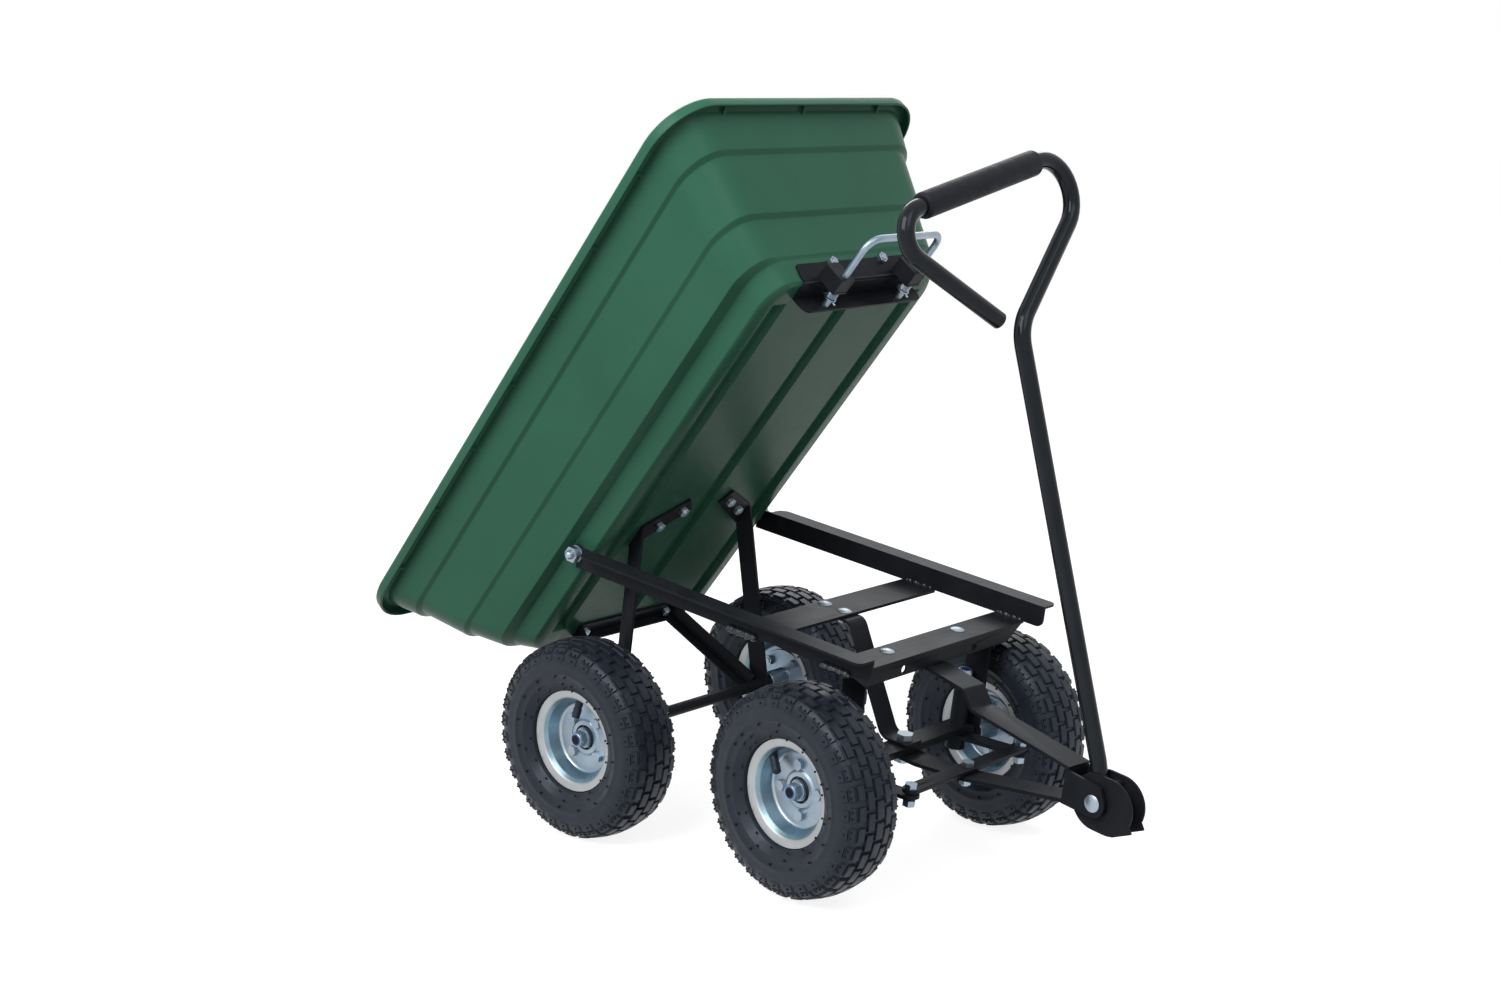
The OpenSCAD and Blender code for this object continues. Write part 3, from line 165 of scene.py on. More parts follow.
# Moulding nubs: kind and number of their row, step in, place in a repeat, height, and repeats to the next
NUB_ROWS = (
    ("lug", 1, 0, 0.20, 0.0028, 1),
    ("lug", 1, 0, 0.53, 0.0028, 1),
    ("panel", 1, 0, 0.31, 0.0018, 1),
    ("wall", 3, 0.003, 0.85, 0.0008, 2),
    ("wall", 6, 0.003, 0.20, 0.0008, 3),
    ("wall", 9, 0.003, 0.35, 0.0006, 2),
)
NUB_FOOT_R = 0.0016
NUB_TOP_R = 0.0013

# Half of the pressed rim from the hub out: radius and height, then the rounds of its corners
RIM_LINE = ((0.0165, 0.0042), (0.0215, 0.0042), (0.0245, 0.00215), (0.0460, 0.00215), (0.0520, 0.0185),
            (0.0565, 0.0245), (0.0660, 0.0268), (0.0668, 0.0240))
RIM_ROUNDS = (0.001, 0.0012, 0.004, 0.005, 0.005, 0.0008)

# Inner tube: radius of its middle line, half height, half width and sides of its section
TUBE_R = 0.088
TUBE_HALF_H = 0.022
TUBE_HALF_W = 0.024
TUBE_SIDES = 16

# Valve stem from its cap down, its foot, its collar and the place of its cap
STEM_LINE = ((0.0, 0.0), (0.0036, 0.0), (0.0052, 0.0014), (0.0056, 0.0128), (0.0047, 0.0134), (0.0047, 0.0150),
             (0.0053, 0.0158), (0.0050, 0.0330), (0.0060, 0.0400))
STEM_FOOT_R = 0.0063
STEM_COLLAR = ((0.0048, 0.0275), (0.0070, 0.0275), (0.0070, 0.0295), (0.0048, 0.0295))
STEM_SPOT = (0.029, 0, 0.0203)

# Bearing seal, and a lock nut's collar and nylon ring above the nut
SEAL_LINE = ((0.0088, 0.0052), (0.0088, 0.0062), (0.0098, 0.0062), (0.0102, 0.0056), (0.0128, 0.0056),
             (0.0132, 0.0062), (0.0142, 0.0062), (0.0142, 0.0052))
COLLAR_LINE = ((0.0078, -0.0002), (0.0099, -0.0002), (0.0094, 0.0020), (0.0086, 0.0028), (0.0078, 0.0026))
NYLON_LINE = ((0.0061, 0.0001), (0.00775, 0.0001), (0.00775, 0.0026), (0.0070, 0.0031), (0.0061, 0.0029))

# Farthest that a kingpin's nut reaches from its axis
NUT_REACH = 0.013

# Handle: bend of the sideways set, room between tube and grip, and round of the grip's ends
SET_BEND = 0.060
GRIP_ROOM = 0.0002
GRIP_ROUND = 0.004

# Latch plates: room round the rod, and small steps that keep their faces apart
ROD_ROOM = 0.0001
PLATE_GAP = 0.0002
PLATE_INSET = 0.0003
LID_INSET = 0.0005

# Latch tab: its foot on the front wall, a point on its top edge, and rounds of its top and, as a share, its foot
TAB_FOOT = -0.009
TAB_SEAM = 0.01
TAB_TOP_ROUND = 0.004
TAB_FOOT_ROUND = 1.4

# Holes of the tab's bolts: place across, height and radius
TAB_BOLT = (0.048, 0.01804, 0.0041)

# Springs: steps in a turn, and sides of the wire
COIL_STEPS = 20
WIRE_SIDES = 8

# Welds on the rails: place across and up, ends along, then the beads' spacing, swing in size and its pace
WELD_ACROSS = 0.1790
WELD_UP = 0.1565
WELD_RUNS = ((-0.004, 0.030), (-0.152, -0.114))
BEAD_PITCH = 0.9
BEAD_SWING = 0.16
BEAD_PACE = 2.4

# Scale of the broad grain as a share of the fine one, and the spans of noise that make a tone
BROAD_GRAIN = 0.06
GRAIN_SPAN = (0.3, 0.7)
CLOUD_SPAN = (0.32, 0.68)

# Tints of the shine on a finish: white, and two blues that paint a bluish reflection into the shine
WHITE = (1.0, 1.0, 1.0, 1.0)
BLUISH_PAINTED_SHEEN = (0.8, 0.9, 1.0, 1.0)
BLUER_PAINTED_SHEEN = (0.74, 0.87, 1.0, 1.0)

# Finishes: colour, its dark and light shares, scales of cloud and grain, roughness, grain's depth and the shine
FINISHES = {
    "moulded green": dict(colour="green", dark=0.92, light=1.10, cloud=5.0, grain=900.0, rough=(0.28, 0.36),
                          depth=0.00003, gloss=0.3, bend=1.26),
    "black coat": dict(colour="black", dark=0.8, light=1.25, cloud=30.0, grain=500.0, rough=(0.32, 0.42),
                       depth=0.00001, gloss=0.4, bend=1.18, tint=BLUISH_PAINTED_SHEEN),
    "glossy coat": dict(colour="black", dark=0.7, light=1.0, cloud=30.0, grain=500.0, rough=(0.10, 0.16),
                        depth=0.000005, bend=1.28, tint=BLUISH_PAINTED_SHEEN),
    "zinc plate": dict(colour="zinc", dark=(0.72, 0.84, 0.95), light=1.14, cloud=22.0, grain=600.0,
                       rough=(0.34, 0.48), depth=0.00005, metal=1.0),
    # Darker blue zinc on the rims' wells: the plating's blue, darkened as painted shade in the recess
    "blue plate": dict(colour="well", dark=0.82, light=1.18, cloud=26.0, grain=600.0, rough=(0.30, 0.44),
                       depth=0.00005, metal=1.0),
    # Paler zinc on the rims' flanges: painted reflection on the zinc
    "pale plate": dict(colour="flange", dark=0.92, light=1.06, cloud=26.0, grain=600.0, rough=(0.42, 0.55),
                       depth=0.00005, metal=1.0),
    "tyre rubber": dict(colour="rubber", dark=0.8, light=1.25, cloud=40.0, grain=900.0, rough=(0.36, 0.50),
                        depth=0.00006, gloss=0.45, bend=1.42, tint=BLUER_PAINTED_SHEEN),
    # Near-black rubber on the tyres' nubs: painted shade standing for dark dots in the side walls
    "nub rubber": dict(colour="rubber", dark=0.15, light=0.3, cloud=40.0, grain=1400.0, rough=(0.5, 0.7),
                       depth=0.0001, gloss=0.2),
    "grip foam": dict(colour="foam", dark=0.85, light=1.15, cloud=160.0, grain=1100.0, rough=(0.50, 0.62),
                      depth=0.0002, gloss=0.4, bend=1.3, tint=BLUISH_PAINTED_SHEEN),
    "nylon": dict(colour="nylon", dark=0.8, light=1.2, cloud=200.0, grain=900.0, rough=(0.3, 0.45), depth=0.00005),
    "weld bead": dict(colour="zinc", dark=0.06, light=0.22, cloud=300.0, grain=900.0, rough=(0.32, 0.5),
                      depth=0.0002, metal=0.6),
}

# Finish of each material slot of the solids
SLOT_FINISHES = {"black_coat": "black coat", "zinc": "zinc plate", "moulded_green": "moulded green",
                 "tyre_rubber": "tyre rubber", "tube_rubber": "tyre rubber", "foam": "grip foam"}

# Floor: its tone under the light, and its tone and glow as they are seen
FLOOR_LIT = (0.28, 0.28, 0.28, 1)
FLOOR_SEEN = (0.40, 0.40, 0.40, 1)
FLOOR_GLOW = 0.865

# Lamps: place, width and height, and the property of their power
LAMPS = {"Key lamp": ((0.2, -2.6, 2.8), (2.4, 2.0), "key_power"),
         "Side lamp": ((2.6, -0.8, 3.0), (1.8, 1.8), "side_power"),
         "Back lamp": ((-1.8, 2.2, 2.6), (2.4, 1.6), "back_power")}

# Point at which the lamps aim, and width of the camera's sensor in millimetres
LAMP_AIM = (0.1, 0, 0.3)
SENSOR_W = 36


def metres(name, description, default):
    """Length that a user may change."""
    return FloatProperty(name=name, description=description, default=default, unit="LENGTH")


def turned(name, description, default):
    """Angle that a user may change, its default in degrees."""
    return FloatProperty(name=name, description=description, default=math.radians(default), subtype="ANGLE")


def coloured(name, description, default):
    """Colour that a user may change."""
    return FloatVectorProperty(name=name, description=description, default=default, subtype="COLOR")


def counted(name, description, default, least):
    """Whole number that a user may change."""
    return IntProperty(name=name, description=description, default=default, min=least)


class CartTray(bpy.types.PropertyGroup):
    """Sizes of the moulded tray."""

    bottom_drop: metres("Bottom drop", "Bottom below the hinge", 0.015)
    wall_h: metres("Wall height", "Walls above the bottom", 0.203)
    bottom_half: metres("Bottom half width", "Half the bottom's width", 0.160)
    top_half: metres("Top half width", "Half the width at the top", 0.226)
    bottom_front: metres("Bottom front", "Hinge to the bottom's front edge", 0.478)
    top_front: metres("Top front", "Hinge to the front wall's top", 0.572)
    bottom_back: metres("Bottom back", "Hinge to the bottom's back edge", 0.188)
    top_back: metres("Top back", "Hinge to the back wall's top", 0.316)
    bottom_r: metres("Bottom corner", "Corner radius at the bottom", 0.040)
    top_r: metres("Top corner", "Corner radius at the top", 0.056)
    wall_t: metres("Wall", "Thickness of the walls", 0.004)
    rim_reach: metres("Rim reach", "Rim out from the wall", 0.016)
    soft_r: metres("Soft edges", "Round on the ledges", 0.0010)
    channel_w: metres("Channel width", "Width of the channels in the bottom", 0.026)
    channel_deep: metres("Channel depth", "Depth of the channels", 0.008)
    web_t: metres("Web", "Thickness of the webs under the rim", 0.003)
    web_h: metres("Web height", "Height of the webs", 0.012)
    web_pitch: metres("Web pitch", "Spacing of the webs on the sides", 0.117)
    corner_steps: counted("Corner steps", "Points round a corner", 14, 4)


class CartWheel(bpy.types.PropertyGroup):
    """Sizes of the tyres, rims and valves."""

    tyre_r: metres("Tyre radius", "Outer radius of the tread", 0.130)
    tread_half: metres("Half tread", "Half the tread's width", 0.026)
    crown_drop: metres("Crown drop", "Fall of the tread to its edge", 0.0035)
    tread_deep: metres("Tread depth", "Height of the blocks", 0.0036)
    bulge_r: metres("Bulge radius", "Radius of the widest line", 0.099)
    bulge_half: metres("Bulge half", "Half the width at the widest line", 0.0425)
    foot_r: metres("Foot radius", "Side wall's radius at the rim", 0.0668)
    foot_half: metres("Foot half", "Half the width at the rim", 0.0247)
    bead_r: metres("Bead radius", "Radius of the bead seat", 0.0583)
    pitches: counted("Pitches", "Repeats of the tread round the tyre", 31, 8)
    columns: counted("Columns", "Steps in one repeat", 8, 6)
    front_roll: turned("Front roll", "Turn of the front wheels", 145)
    rear_roll: turned("Rear roll", "Turn of the rear wheels", 40)
    rim_t: metres("Rim sheet", "Thickness of the pressed rim", 0.002)
    # Rim faces beyond this radius take the paler zinc, a painted reflection; faces above the well height take the
    # darker zinc, painted shade
    flange_r: metres("Flange", "Inner radius of the rim's pale flange", 0.0545)
    well_z: metres("Well", "Height at which the rim's well starts", 0.0055)
    rim_steps: counted("Rim steps", "Steps round the rim", 72, 24)
    valve_len: metres("Valve", "Length of the valve stem", 0.057)
    nut_top: metres("Nut top", "Axle nut's outer end from the wheel's middle", 0.0176)
    valve_lean: turned("Valve lean", "Lean of the valve from the axle", 113)


class CartHandle(bpy.types.PropertyGroup):
    """Sizes of the bent handle and its grip."""

    tube_r: metres("Tube radius", "Outer radius of the tube", 0.010)
    tube_wall: metres("Tube wall", "Wall of the tube", 0.002)
    back: turned("Lean back", "Lean of the handle at rest", 18.6)
    set_turn: turned("Set", "Sideways set of the shaft", 6)
    set_s: metres("Set place", "Pivot to the sideways set", 0.046)
    foot_end: metres("Foot", "Tube below the pivot", 0.012)
    branch_s: metres("Loop start", "Pivot to the loop", 0.550)
    stub_s: metres("Loop end", "Pivot to the open end", 0.563)
    stub_gap: metres("End gap", "Open end beside the shaft", 0.033)
    grip_s: metres("Grip place", "Pivot to the grip", 0.718)
    grip_skew: turned("Grip skew", "Slope of the grip", 7)
    right_rise: turned("Right rise", "Slope of the right limb", 41)
    left_rise: turned("Left rise", "Slope of the left limb", 37)
    shaft_bend: metres("Shaft bend", "Bend where the loop starts", 0.050)
    right_bend: metres("Right bend", "Bend at the right end", 0.044)
    left_bend: metres("Left bend", "Bend at the left end", 0.030)
    grip_r: metres("Grip radius", "Outer radius of the foam", 0.015)
    grip_len: metres("Grip length", "Length of the foam", 0.202)


class CartLatch(bpy.types.PropertyGroup):
    """Sizes of the latch: its plates, rod and springs."""

    rod_r: metres("Rod radius", "Radius of the latch rod", 0.0045)
    half: metres("Half spread", "Half the spacing of the rod's legs", 0.072)
    drop: metres("Drop", "Rod below the hinge line", 0.033)
    bend_r: metres("Bend", "Bends of the finger loop", 0.020)
    spring_r: metres("Spring radius", "Radius of the coil", 0.0062)
    wire_r: metres("Wire radius", "Radius of the spring wire", 0.0007)
    turns: counted("Turns", "Turns of a spring", 5, 2)
    tip_u: metres("Tip", "Hinge to the rod's tips", 0.456)
    front_u: metres("Loop front", "Hinge to the finger loop", 0.5655)
    ear_u: metres("Ear", "Hinge to the ear plate", 0.457)
    leg_u: metres("Leg", "Hinge to the legs", 0.4845)
    leg_len: metres("Leg length", "Legs, front to back", 0.022)
    leg_w: metres("Leg width", "Width of a leg", 0.024)
    leg_top: metres("Leg top", "Top of the legs below the hinge", 0.009)
    ear_low: metres("Ear drop", "Foot of the ears below the hinge", 0.041)
    plate_half: metres("Plate half", "Half the width of the ear plate", 0.115)
    tab_half: metres("Tab half", "Half the width of the tab", 0.113)
    tab_h: metres("Tab height", "Height of the tab", 0.030)
    plate_t: metres("Plate", "Thickness of the plates", 0.0025)
    round_r: metres("Plate corners", "Round corners of the plates", 0.012)


class CartSteel(bpy.types.PropertyGroup):
    """Small sizes of the steelwork."""

    edge_r: metres("Edge", "Round on steel edges", 0.0006)
    weld_r: metres("Weld", "Radius of a weld bead", 0.0050)


class CartFinish(bpy.types.PropertyGroup):
    """Colours of the finishes."""

    green: coloured("Green", "Moulded tray", (0.037, 0.137, 0.087))
    black: coloured("Black", "Powder coat", (0.0135, 0.0150, 0.0185))
    zinc: coloured("Zinc", "Plated steel", (0.33, 0.375, 0.415))
    # Well and flange tones are copies of the zinc: the well darker as painted shade, the flange paler as painted
    # reflection
    well: coloured("Well", "Bluish plate in the rims", (0.22, 0.32, 0.385))
    flange: coloured("Flange", "Pale plate on the rims' flanges", (0.40, 0.42, 0.43))
    # Tyres are near-black rubber; the blue cast paints the sky's reflection on them
    rubber: coloured("Rubber", "Tyres", (0.0120, 0.0140, 0.0215))
    foam: coloured("Foam", "Grip", (0.0110, 0.0120, 0.0155))
    nylon: coloured("Nylon", "Rings in the lock nuts", (0.03, 0.09, 0.33))


class CartStage(bpy.types.PropertyGroup):
    """Camera, floor and light."""

    camera_spot: FloatVectorProperty(name="Camera", description="Place of the camera",
                                     default=(1.78871, -2.12027, 0.94449), subtype="TRANSLATION")
    camera_tilt: turned("Tilt", "Tilt of the camera", 79.53)
    camera_pan: turned("Pan", "Turn of the camera", 41.03)
    lens: FloatProperty(name="Lens", description="Focal length in millimetres", default=52.886)
    floor_size: metres("Floor", "Half the floor's side", 30.0)
    key_power: FloatProperty(name="Key", description="Power of the main lamp", default=100.0)
    side_power: FloatProperty(name="Side", description="Power of the side lamp", default=24.0)
    back_power: FloatProperty(name="Back", description="Power of the back lamp", default=40.0)
    sky: FloatProperty(name="Sky", description="Strength of the room's light", default=0.34)


def sizes(group):
    """The scene's property group of that name."""
    return getattr(bpy.context.scene, "cart_" + group)


def joint_spot(name):
    """Place of a joint."""
    return Vector(JOINTS[name]["pos_m"])


def joint_axis(name):
    """Direction of a joint."""
    return Vector(JOINTS[name]["axis"]).normalized()


def placed(spot, ahead, up):
    """Matrix of a place with its forward and upward directions."""
    side = up.cross(ahead)
    turn = Matrix((ahead.normalized(), side.normalized(), up.normalized())).transposed()
    return Matrix.Translation(spot) @ turn.to_4x4()


def tray_place():
    """Tray's own frame: along the bottom, across, and up out of it."""
    ahead = joint_axis("latch_pull")
    return placed(joint_spot("tray_tip"), ahead, ahead.cross(ACROSS))


def chassis_place():
    """Frame's own place: forward, across, up along the steering axis."""
    up = joint_axis("steer")
    return placed(joint_spot("steer"), ACROSS.cross(up), up)


def drawbar_place():
    """Drawbar's own place, turned with the steering."""
    up = joint_axis("steer")
    return placed(joint_spot("steer"), joint_axis("handle_fold").cross(up), up)


def handle_place():
    """Handle's own place, its shaft along z."""
    turn = drawbar_place().to_3x3().to_4x4()
    lean = Matrix.Rotation(-sizes("handle").back, 4, "Y")
    return Matrix.Translation(joint_spot("handle_fold")) @ turn @ lean


def wheel_place(name, side):
    """Wheel's own place, its outer face towards z and its valve on x."""
    wheel = sizes("wheel")
    front = name.startswith("front")
    ahead = drawbar_place().col[0].to_3d() if front else joint_axis("latch_pull")
    roll = wheel.front_roll if front else wheel.rear_roll
    base = placed(joint_spot(name + "_roll"), ahead, joint_axis(name + "_roll") * side)
    return base @ Matrix.Rotation(-side * roll, 4, "Z")


def mix(low, high, share):
    """Value between two others."""
    return low + (high - low) * share


def ring_edges(verts):
    """Edges that join the given vertices."""
    ring = set(verts)
    return [edge for edge in {e for v in ring for e in v.link_edges} if all(v in ring for v in edge.verts)]


def only(kind, made):
    """Items of one kind among an operator's results."""
    return [item for item in made if isinstance(item, kind)]


def in_scene(name, data):
    """New object in the scene."""
    item = bpy.data.objects.new(name, data)
    bpy.context.scene.collection.objects.link(item)
    return item


def show_piece(bm, place, name, body, finishes, stands_for=()):
    """Puts a mesh in its place as a piece, which rides on a body if one is named."""
    bm.transform(place)
    bmesh.ops.remove_doubles(bm, verts=bm.verts, dist=MERGE)
    bmesh.ops.recalc_face_normals(bm, faces=bm.faces)
    for face in bm.faces:
        face.smooth = True
    for edge in bm.edges:
        edge.smooth = edge.calc_face_angle(0) < SHARP
    mesh = bpy.data.meshes.new(name)
    bm.to_mesh(mesh)
    bm.free()
    for label in finishes:
        mesh.materials.append(finish(label))
    piece = in_scene(name, mesh)
    if body:
        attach(piece, body)
    if stands_for:
        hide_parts(*stands_for)
    return piece


def soften(piece, width):
    """Rounds the hard edges of a piece."""
    edge = piece.modifiers.new("Edge round", "BEVEL")
    edge.width = width
    edge.segments = 2
    edge.limit_method = "ANGLE"
    edge.angle_limit = HARD
    edge.harden_normals = True


def lathe(bm, outline, steps, closed=False, stations=None):
    """Spins an outline of radius and height pairs about z, and numbers its rows on a layer if one is given."""
    verts = [bm.verts.new((radius, 0, height)) for radius, height in outline]
    if stations is not None:
        for index, vert in enumerate(verts):
            vert[stations] = index
    pairs = list(zip(verts, verts[1:]))
    if closed:
        pairs.append((verts[-1], verts[0]))
    edges = [bm.edges.new(pair) for pair in pairs]
    before = set(bm.faces)
    bmesh.ops.spin(bm, geom=verts + edges, cent=(0, 0, 0), axis=(0, 0, 1), angle=math.tau, steps=steps,
                   use_merge=True)
    return [face for face in bm.faces if face not in before]


def rounded(points, radii, steps):
    """Outline whose inner corners are arcs of the given radii."""
    line = [Vector(points[0])]
    for here, point, there, radius in zip(points, points[1:], points[2:], radii):
        corner = Vector(point)
        back = (Vector(here) - corner).normalized()
        on = (Vector(there) - corner).normalized()
        turn = math.pi - back.angle(on)
        if radius <= 0 or turn < STRAIGHT:
            line.append(corner)
            continue
        cut = radius * math.tan(turn / 2)
        middle = corner + (back + on).normalized() * (radius / math.cos(turn / 2))
        first = corner + back * cut - middle
        last = corner + on * cut - middle
        for step in range(steps + 1):
            share = step / steps
            spoke = first * math.sin((1 - share) * turn) + last * math.sin(share * turn)
            line.append(middle + spoke / math.sin(turn))
    line.append(Vector(points[-1]))
    return line


def bent_tube(bm, corners, bends, radius, around, steps):
    """Carries a round section through corners, each with its bend; returns the two end loops."""
    way = (corners[1] - corners[0]).normalized()
    turn = way.to_track_quat("Z", "Y").to_matrix().to_4x4()
    start = bmesh.ops.create_circle(bm, segments=around, radius=radius,
                                    matrix=Matrix.Translation(corners[0]) @ turn)
    loop = ring_edges(start["verts"])
    first = loop
    here = corners[0]
    for corner, there, bend in zip(corners[1:], corners[2:], bends):
        onward = (there - corner).normalized()
        angle = way.angle(onward)
        cut = bend * math.tan(angle / 2)
        loop = carry_on(bm, loop, corner - way * cut - here)
        middle = corner + (onward - way).normalized() * (bend / math.cos(angle / 2))
        spun = bmesh.ops.spin(bm, geom=loop, cent=middle, axis=way.cross(onward), angle=angle, steps=steps)
        loop = only(EDGE, spun["geom_last"])
        here = corner + onward * cut
        way = onward
    loop = carry_on(bm, loop, corners[-1] - here)
    return first, loop


def carry_on(bm, loop, move):
    """Extrudes a loop of edges along a straight run."""
    made = bmesh.ops.extrude_edge_only(bm, edges=loop)["geom"]
    bmesh.ops.translate(bm, verts=only(VERT, made), vec=move)
    return only(EDGE, made)


def plate(bm, place, outline, thickness, holes=()):
    """Flat plate of an outline with round holes, its thickness along the place's z."""
    before = set(bm.verts)
    verts = [bm.verts.new((x, y, 0)) for x, y in outline]
    edges = [bm.edges.new(pair) for pair in zip(verts, verts[1:] + verts[:1])]
    for x, y, radius in holes:
        circle = bmesh.ops.create_circle(bm, segments=HOLE_STEPS, radius=radius,
                                         matrix=Matrix.Translation((x, y, 0)))
        edges += ring_edges(circle["verts"])
    faces = only(FACE, bmesh.ops.triangle_fill(bm, use_beauty=True, edges=edges)["geom"])
    made = bmesh.ops.extrude_face_region(bm, geom=faces)["geom"]
    bmesh.ops.translate(bm, verts=only(VERT, made), vec=(0, 0, thickness))
    bmesh.ops.transform(bm, matrix=place, verts=[vert for vert in bm.verts if vert not in before])


def oblong(low_x, low_y, high_x, high_y):
    """Corners of a rectangle."""
    return ((low_x, low_y), (high_x, low_y), (high_x, high_y), (low_x, high_y))


def facing(spot, across, up):
    """Place of a plate from its two edge directions."""
    return placed(spot, across, across.cross(up))


# Finishes and the effects they share


def feed(tree, node, inputs):
    """Fills inputs of a node, each from a socket or with a plain value."""
    for label, source in inputs.items():
        if isinstance(source, bpy.types.NodeSocket):
            tree.links.new(source, node.inputs[label])
        else:
            node.inputs[label].default_value = source
    return node


def add_node(tree, kind, inputs):
    """New shader node of a kind with its inputs filled."""
    return feed(tree, tree.nodes.new("ShaderNode" + kind), inputs)


def add_effect(tree, effect, inputs):
    """New node of a shared effect with its inputs filled."""
    node = tree.nodes.new("ShaderNodeGroup")
    node.node_tree = effect
    return feed(tree, node, inputs)


def effect_group(name, inputs, outputs):
    """Empty node group with its sockets; returns the group, the sockets of its inlet, and its outlet."""
    group = bpy.data.node_groups.new(name, "ShaderNodeTree")
    for way, sockets in (("INPUT", inputs), ("OUTPUT", outputs)):
        for label, kind in sockets.items():
            group.interface.new_socket(label, in_out=way, socket_type=kind)
    return group, group.nodes.new("NodeGroupInput").outputs, group.nodes.new("NodeGroupOutput")


def noise_value(tree, vector, scale, detail):
    """Noise on the given coordinates."""
    return add_node(tree, "TexNoise", {"Vector": vector, "Scale": scale, "Detail": detail}).outputs["Fac"]


def stretched(tree, value, span, onto=(0.0, 1.0)):
    """Value stretched from one span onto another."""
    ends = dict(zip(("From Min", "From Max", "To Min", "To Max"), (*span, *onto)))
    return add_node(tree, "MapRange", {"Value": value, **ends}).outputs["Result"]


def worked_out(tree, operation, first, second):
    """Result of math on two sockets or numbers."""
    node = add_node(tree, "Math", {0: first, 1: second})
    node.operation = operation
    return node.outputs[0]


def grain_effect():
    """Group with the fine grain of a moulded, coated or cast surface."""
    name = "Fine grain"
    if name in bpy.data.node_groups:
        return bpy.data.node_groups[name]
    group, inlet, outlet = effect_group(
        name,
        {"Vector": "NodeSocketVector", "Scale": "NodeSocketFloat"},
        {"Height": "NodeSocketFloat", "Tone": "NodeSocketFloat"},
    )
    vector, scale = inlet["Vector"], inlet["Scale"]
    fine = noise_value(group, vector, scale, detail=3)
    broad = noise_value(group, vector, worked_out(group, "MULTIPLY", scale, BROAD_GRAIN), detail=4)
    both = worked_out(group, "ADD", fine, broad)
    feed(group, outlet, {"Height": worked_out(group, "MULTIPLY", both, 0.5),
                         "Tone": stretched(group, broad, GRAIN_SPAN)})
    return group


def cloud_effect():
    """Group that lets a colour drift between two tones."""
    name = "Cloudy tone"
    if name in bpy.data.node_groups:
        return bpy.data.node_groups[name]
    group, inlet, outlet = effect_group(
        name,
        {"Vector": "NodeSocketVector", "Scale": "NodeSocketFloat", "Dark": "NodeSocketColor",
         "Light": "NodeSocketColor"},
        {"Colour": "NodeSocketColor"},
    )
    drift = noise_value(group, inlet["Vector"], inlet["Scale"], detail=5)
    blend = group.nodes.new("ShaderNodeMix")
    blend.data_type = "RGBA"
    feed(group, blend, {"Factor": stretched(group, drift, CLOUD_SPAN), "A": inlet["Dark"], "B": inlet["Light"]})
    feed(group, outlet, {"Colour": blend.outputs["Result"]})
    return group


def toned(colour, share):
    """Colour made lighter or darker by one share, or by one for each of its parts, with full alpha."""
    shares = share if isinstance(share, tuple) else (share,) * 3
    return (*[min(1.0, part * each) for part, each in zip(colour, shares)], 1.0)


def finish(name):
    """Finish of that name with drifting colour, varied gloss and a fine grain, made once."""
    if name in bpy.data.materials:
        return bpy.data.materials[name]
    look = FINISHES[name]
    colour = getattr(sizes("finish"), look["colour"])
    tones = {"Dark": toned(colour, look["dark"]), "Light": toned(colour, look["light"])}
    material = bpy.data.materials.new(name)
    material.use_nodes = True
    tree = material.node_tree
    coords = tree.nodes.new("ShaderNodeTexCoord").outputs["Object"]
    cloud = add_effect(tree, cloud_effect(), {"Vector": coords, "Scale": look["cloud"], **tones})
    grain = add_effect(tree, grain_effect(), {"Vector": coords, "Scale": look["grain"]})
    bump = add_node(tree, "Bump", {"Height": grain.outputs["Height"], "Distance": look["depth"]})
    feed(tree, tree.nodes["Principled BSDF"], {
        "Base Color": cloud.outputs["Colour"],
        "Roughness": stretched(tree, grain.outputs["Tone"], (0.0, 1.0), look["rough"]),
        "Normal": bump.outputs["Normal"],
        "Metallic": look.get("metal", 0.0),
        "Specular IOR Level": look.get("gloss", 0.5),
        "Specular Tint": look.get("tint", WHITE),
        "IOR": look.get("bend", 1.5),
    })
    return material


# Tray


def set_ring(tray, verts, spokes, row, out, up):
    """Sets a ring of vertices on the tray's plan at one level, with round corners."""
    height, side, front, back = row
    half = mix(tray.bottom_half, tray.top_half, side) + out
    ahead = mix(tray.bottom_front, tray.top_front, front) + out
    behind = mix(tray.bottom_back, tray.top_back, back) + out
    radius = mix(tray.bottom_r, tray.top_r, side) + out
    level = tray.wall_h * height - tray.bottom_drop + up
    for vert in verts:
        spoke = vert[spokes]
        along = ahead - radius if spoke.x > 0 else radius - behind
        beside = math.copysign(half - radius, spoke.y)
        vert.co = Vector((along + radius * spoke.x, beside + radius * spoke.y, level))


def press_channels(bm, cap, tray, depth):
    """Presses three long channels into a flat face."""
    half = tray.channel_w / 2
    rows = [share * tray.bottom_half for share in CHANNEL_ROWS]
    near = CHANNEL_BACK * tray.bottom_back
    far = CHANNEL_FRONT * tray.bottom_front
    parts = [cap]
    cuts = [((0, row + side * half, 0), (0, 1, 0)) for row in rows for side in (-1, 1)]
    cuts += [((end, 0, 0), (1, 0, 0)) for end in (near, far)]
    for point, normal in cuts:
        rims = {edge for face in parts for edge in face.edges}
        dots = {vert for face in parts for vert in face.verts}
        cut = bmesh.ops.bisect_plane(bm, geom=parts + list(rims) + list(dots), plane_co=point, plane_no=normal)
        parts = only(FACE, cut["geom"])
    for row in rows:
        middle = [f for f in parts if abs(f.calc_center_median().y - row) < half
                  and near < f.calc_center_median().x < far]
        bmesh.ops.inset_region(bm, faces=middle, thickness=tray.channel_deep * CHANNEL_SLOPE, depth=depth)


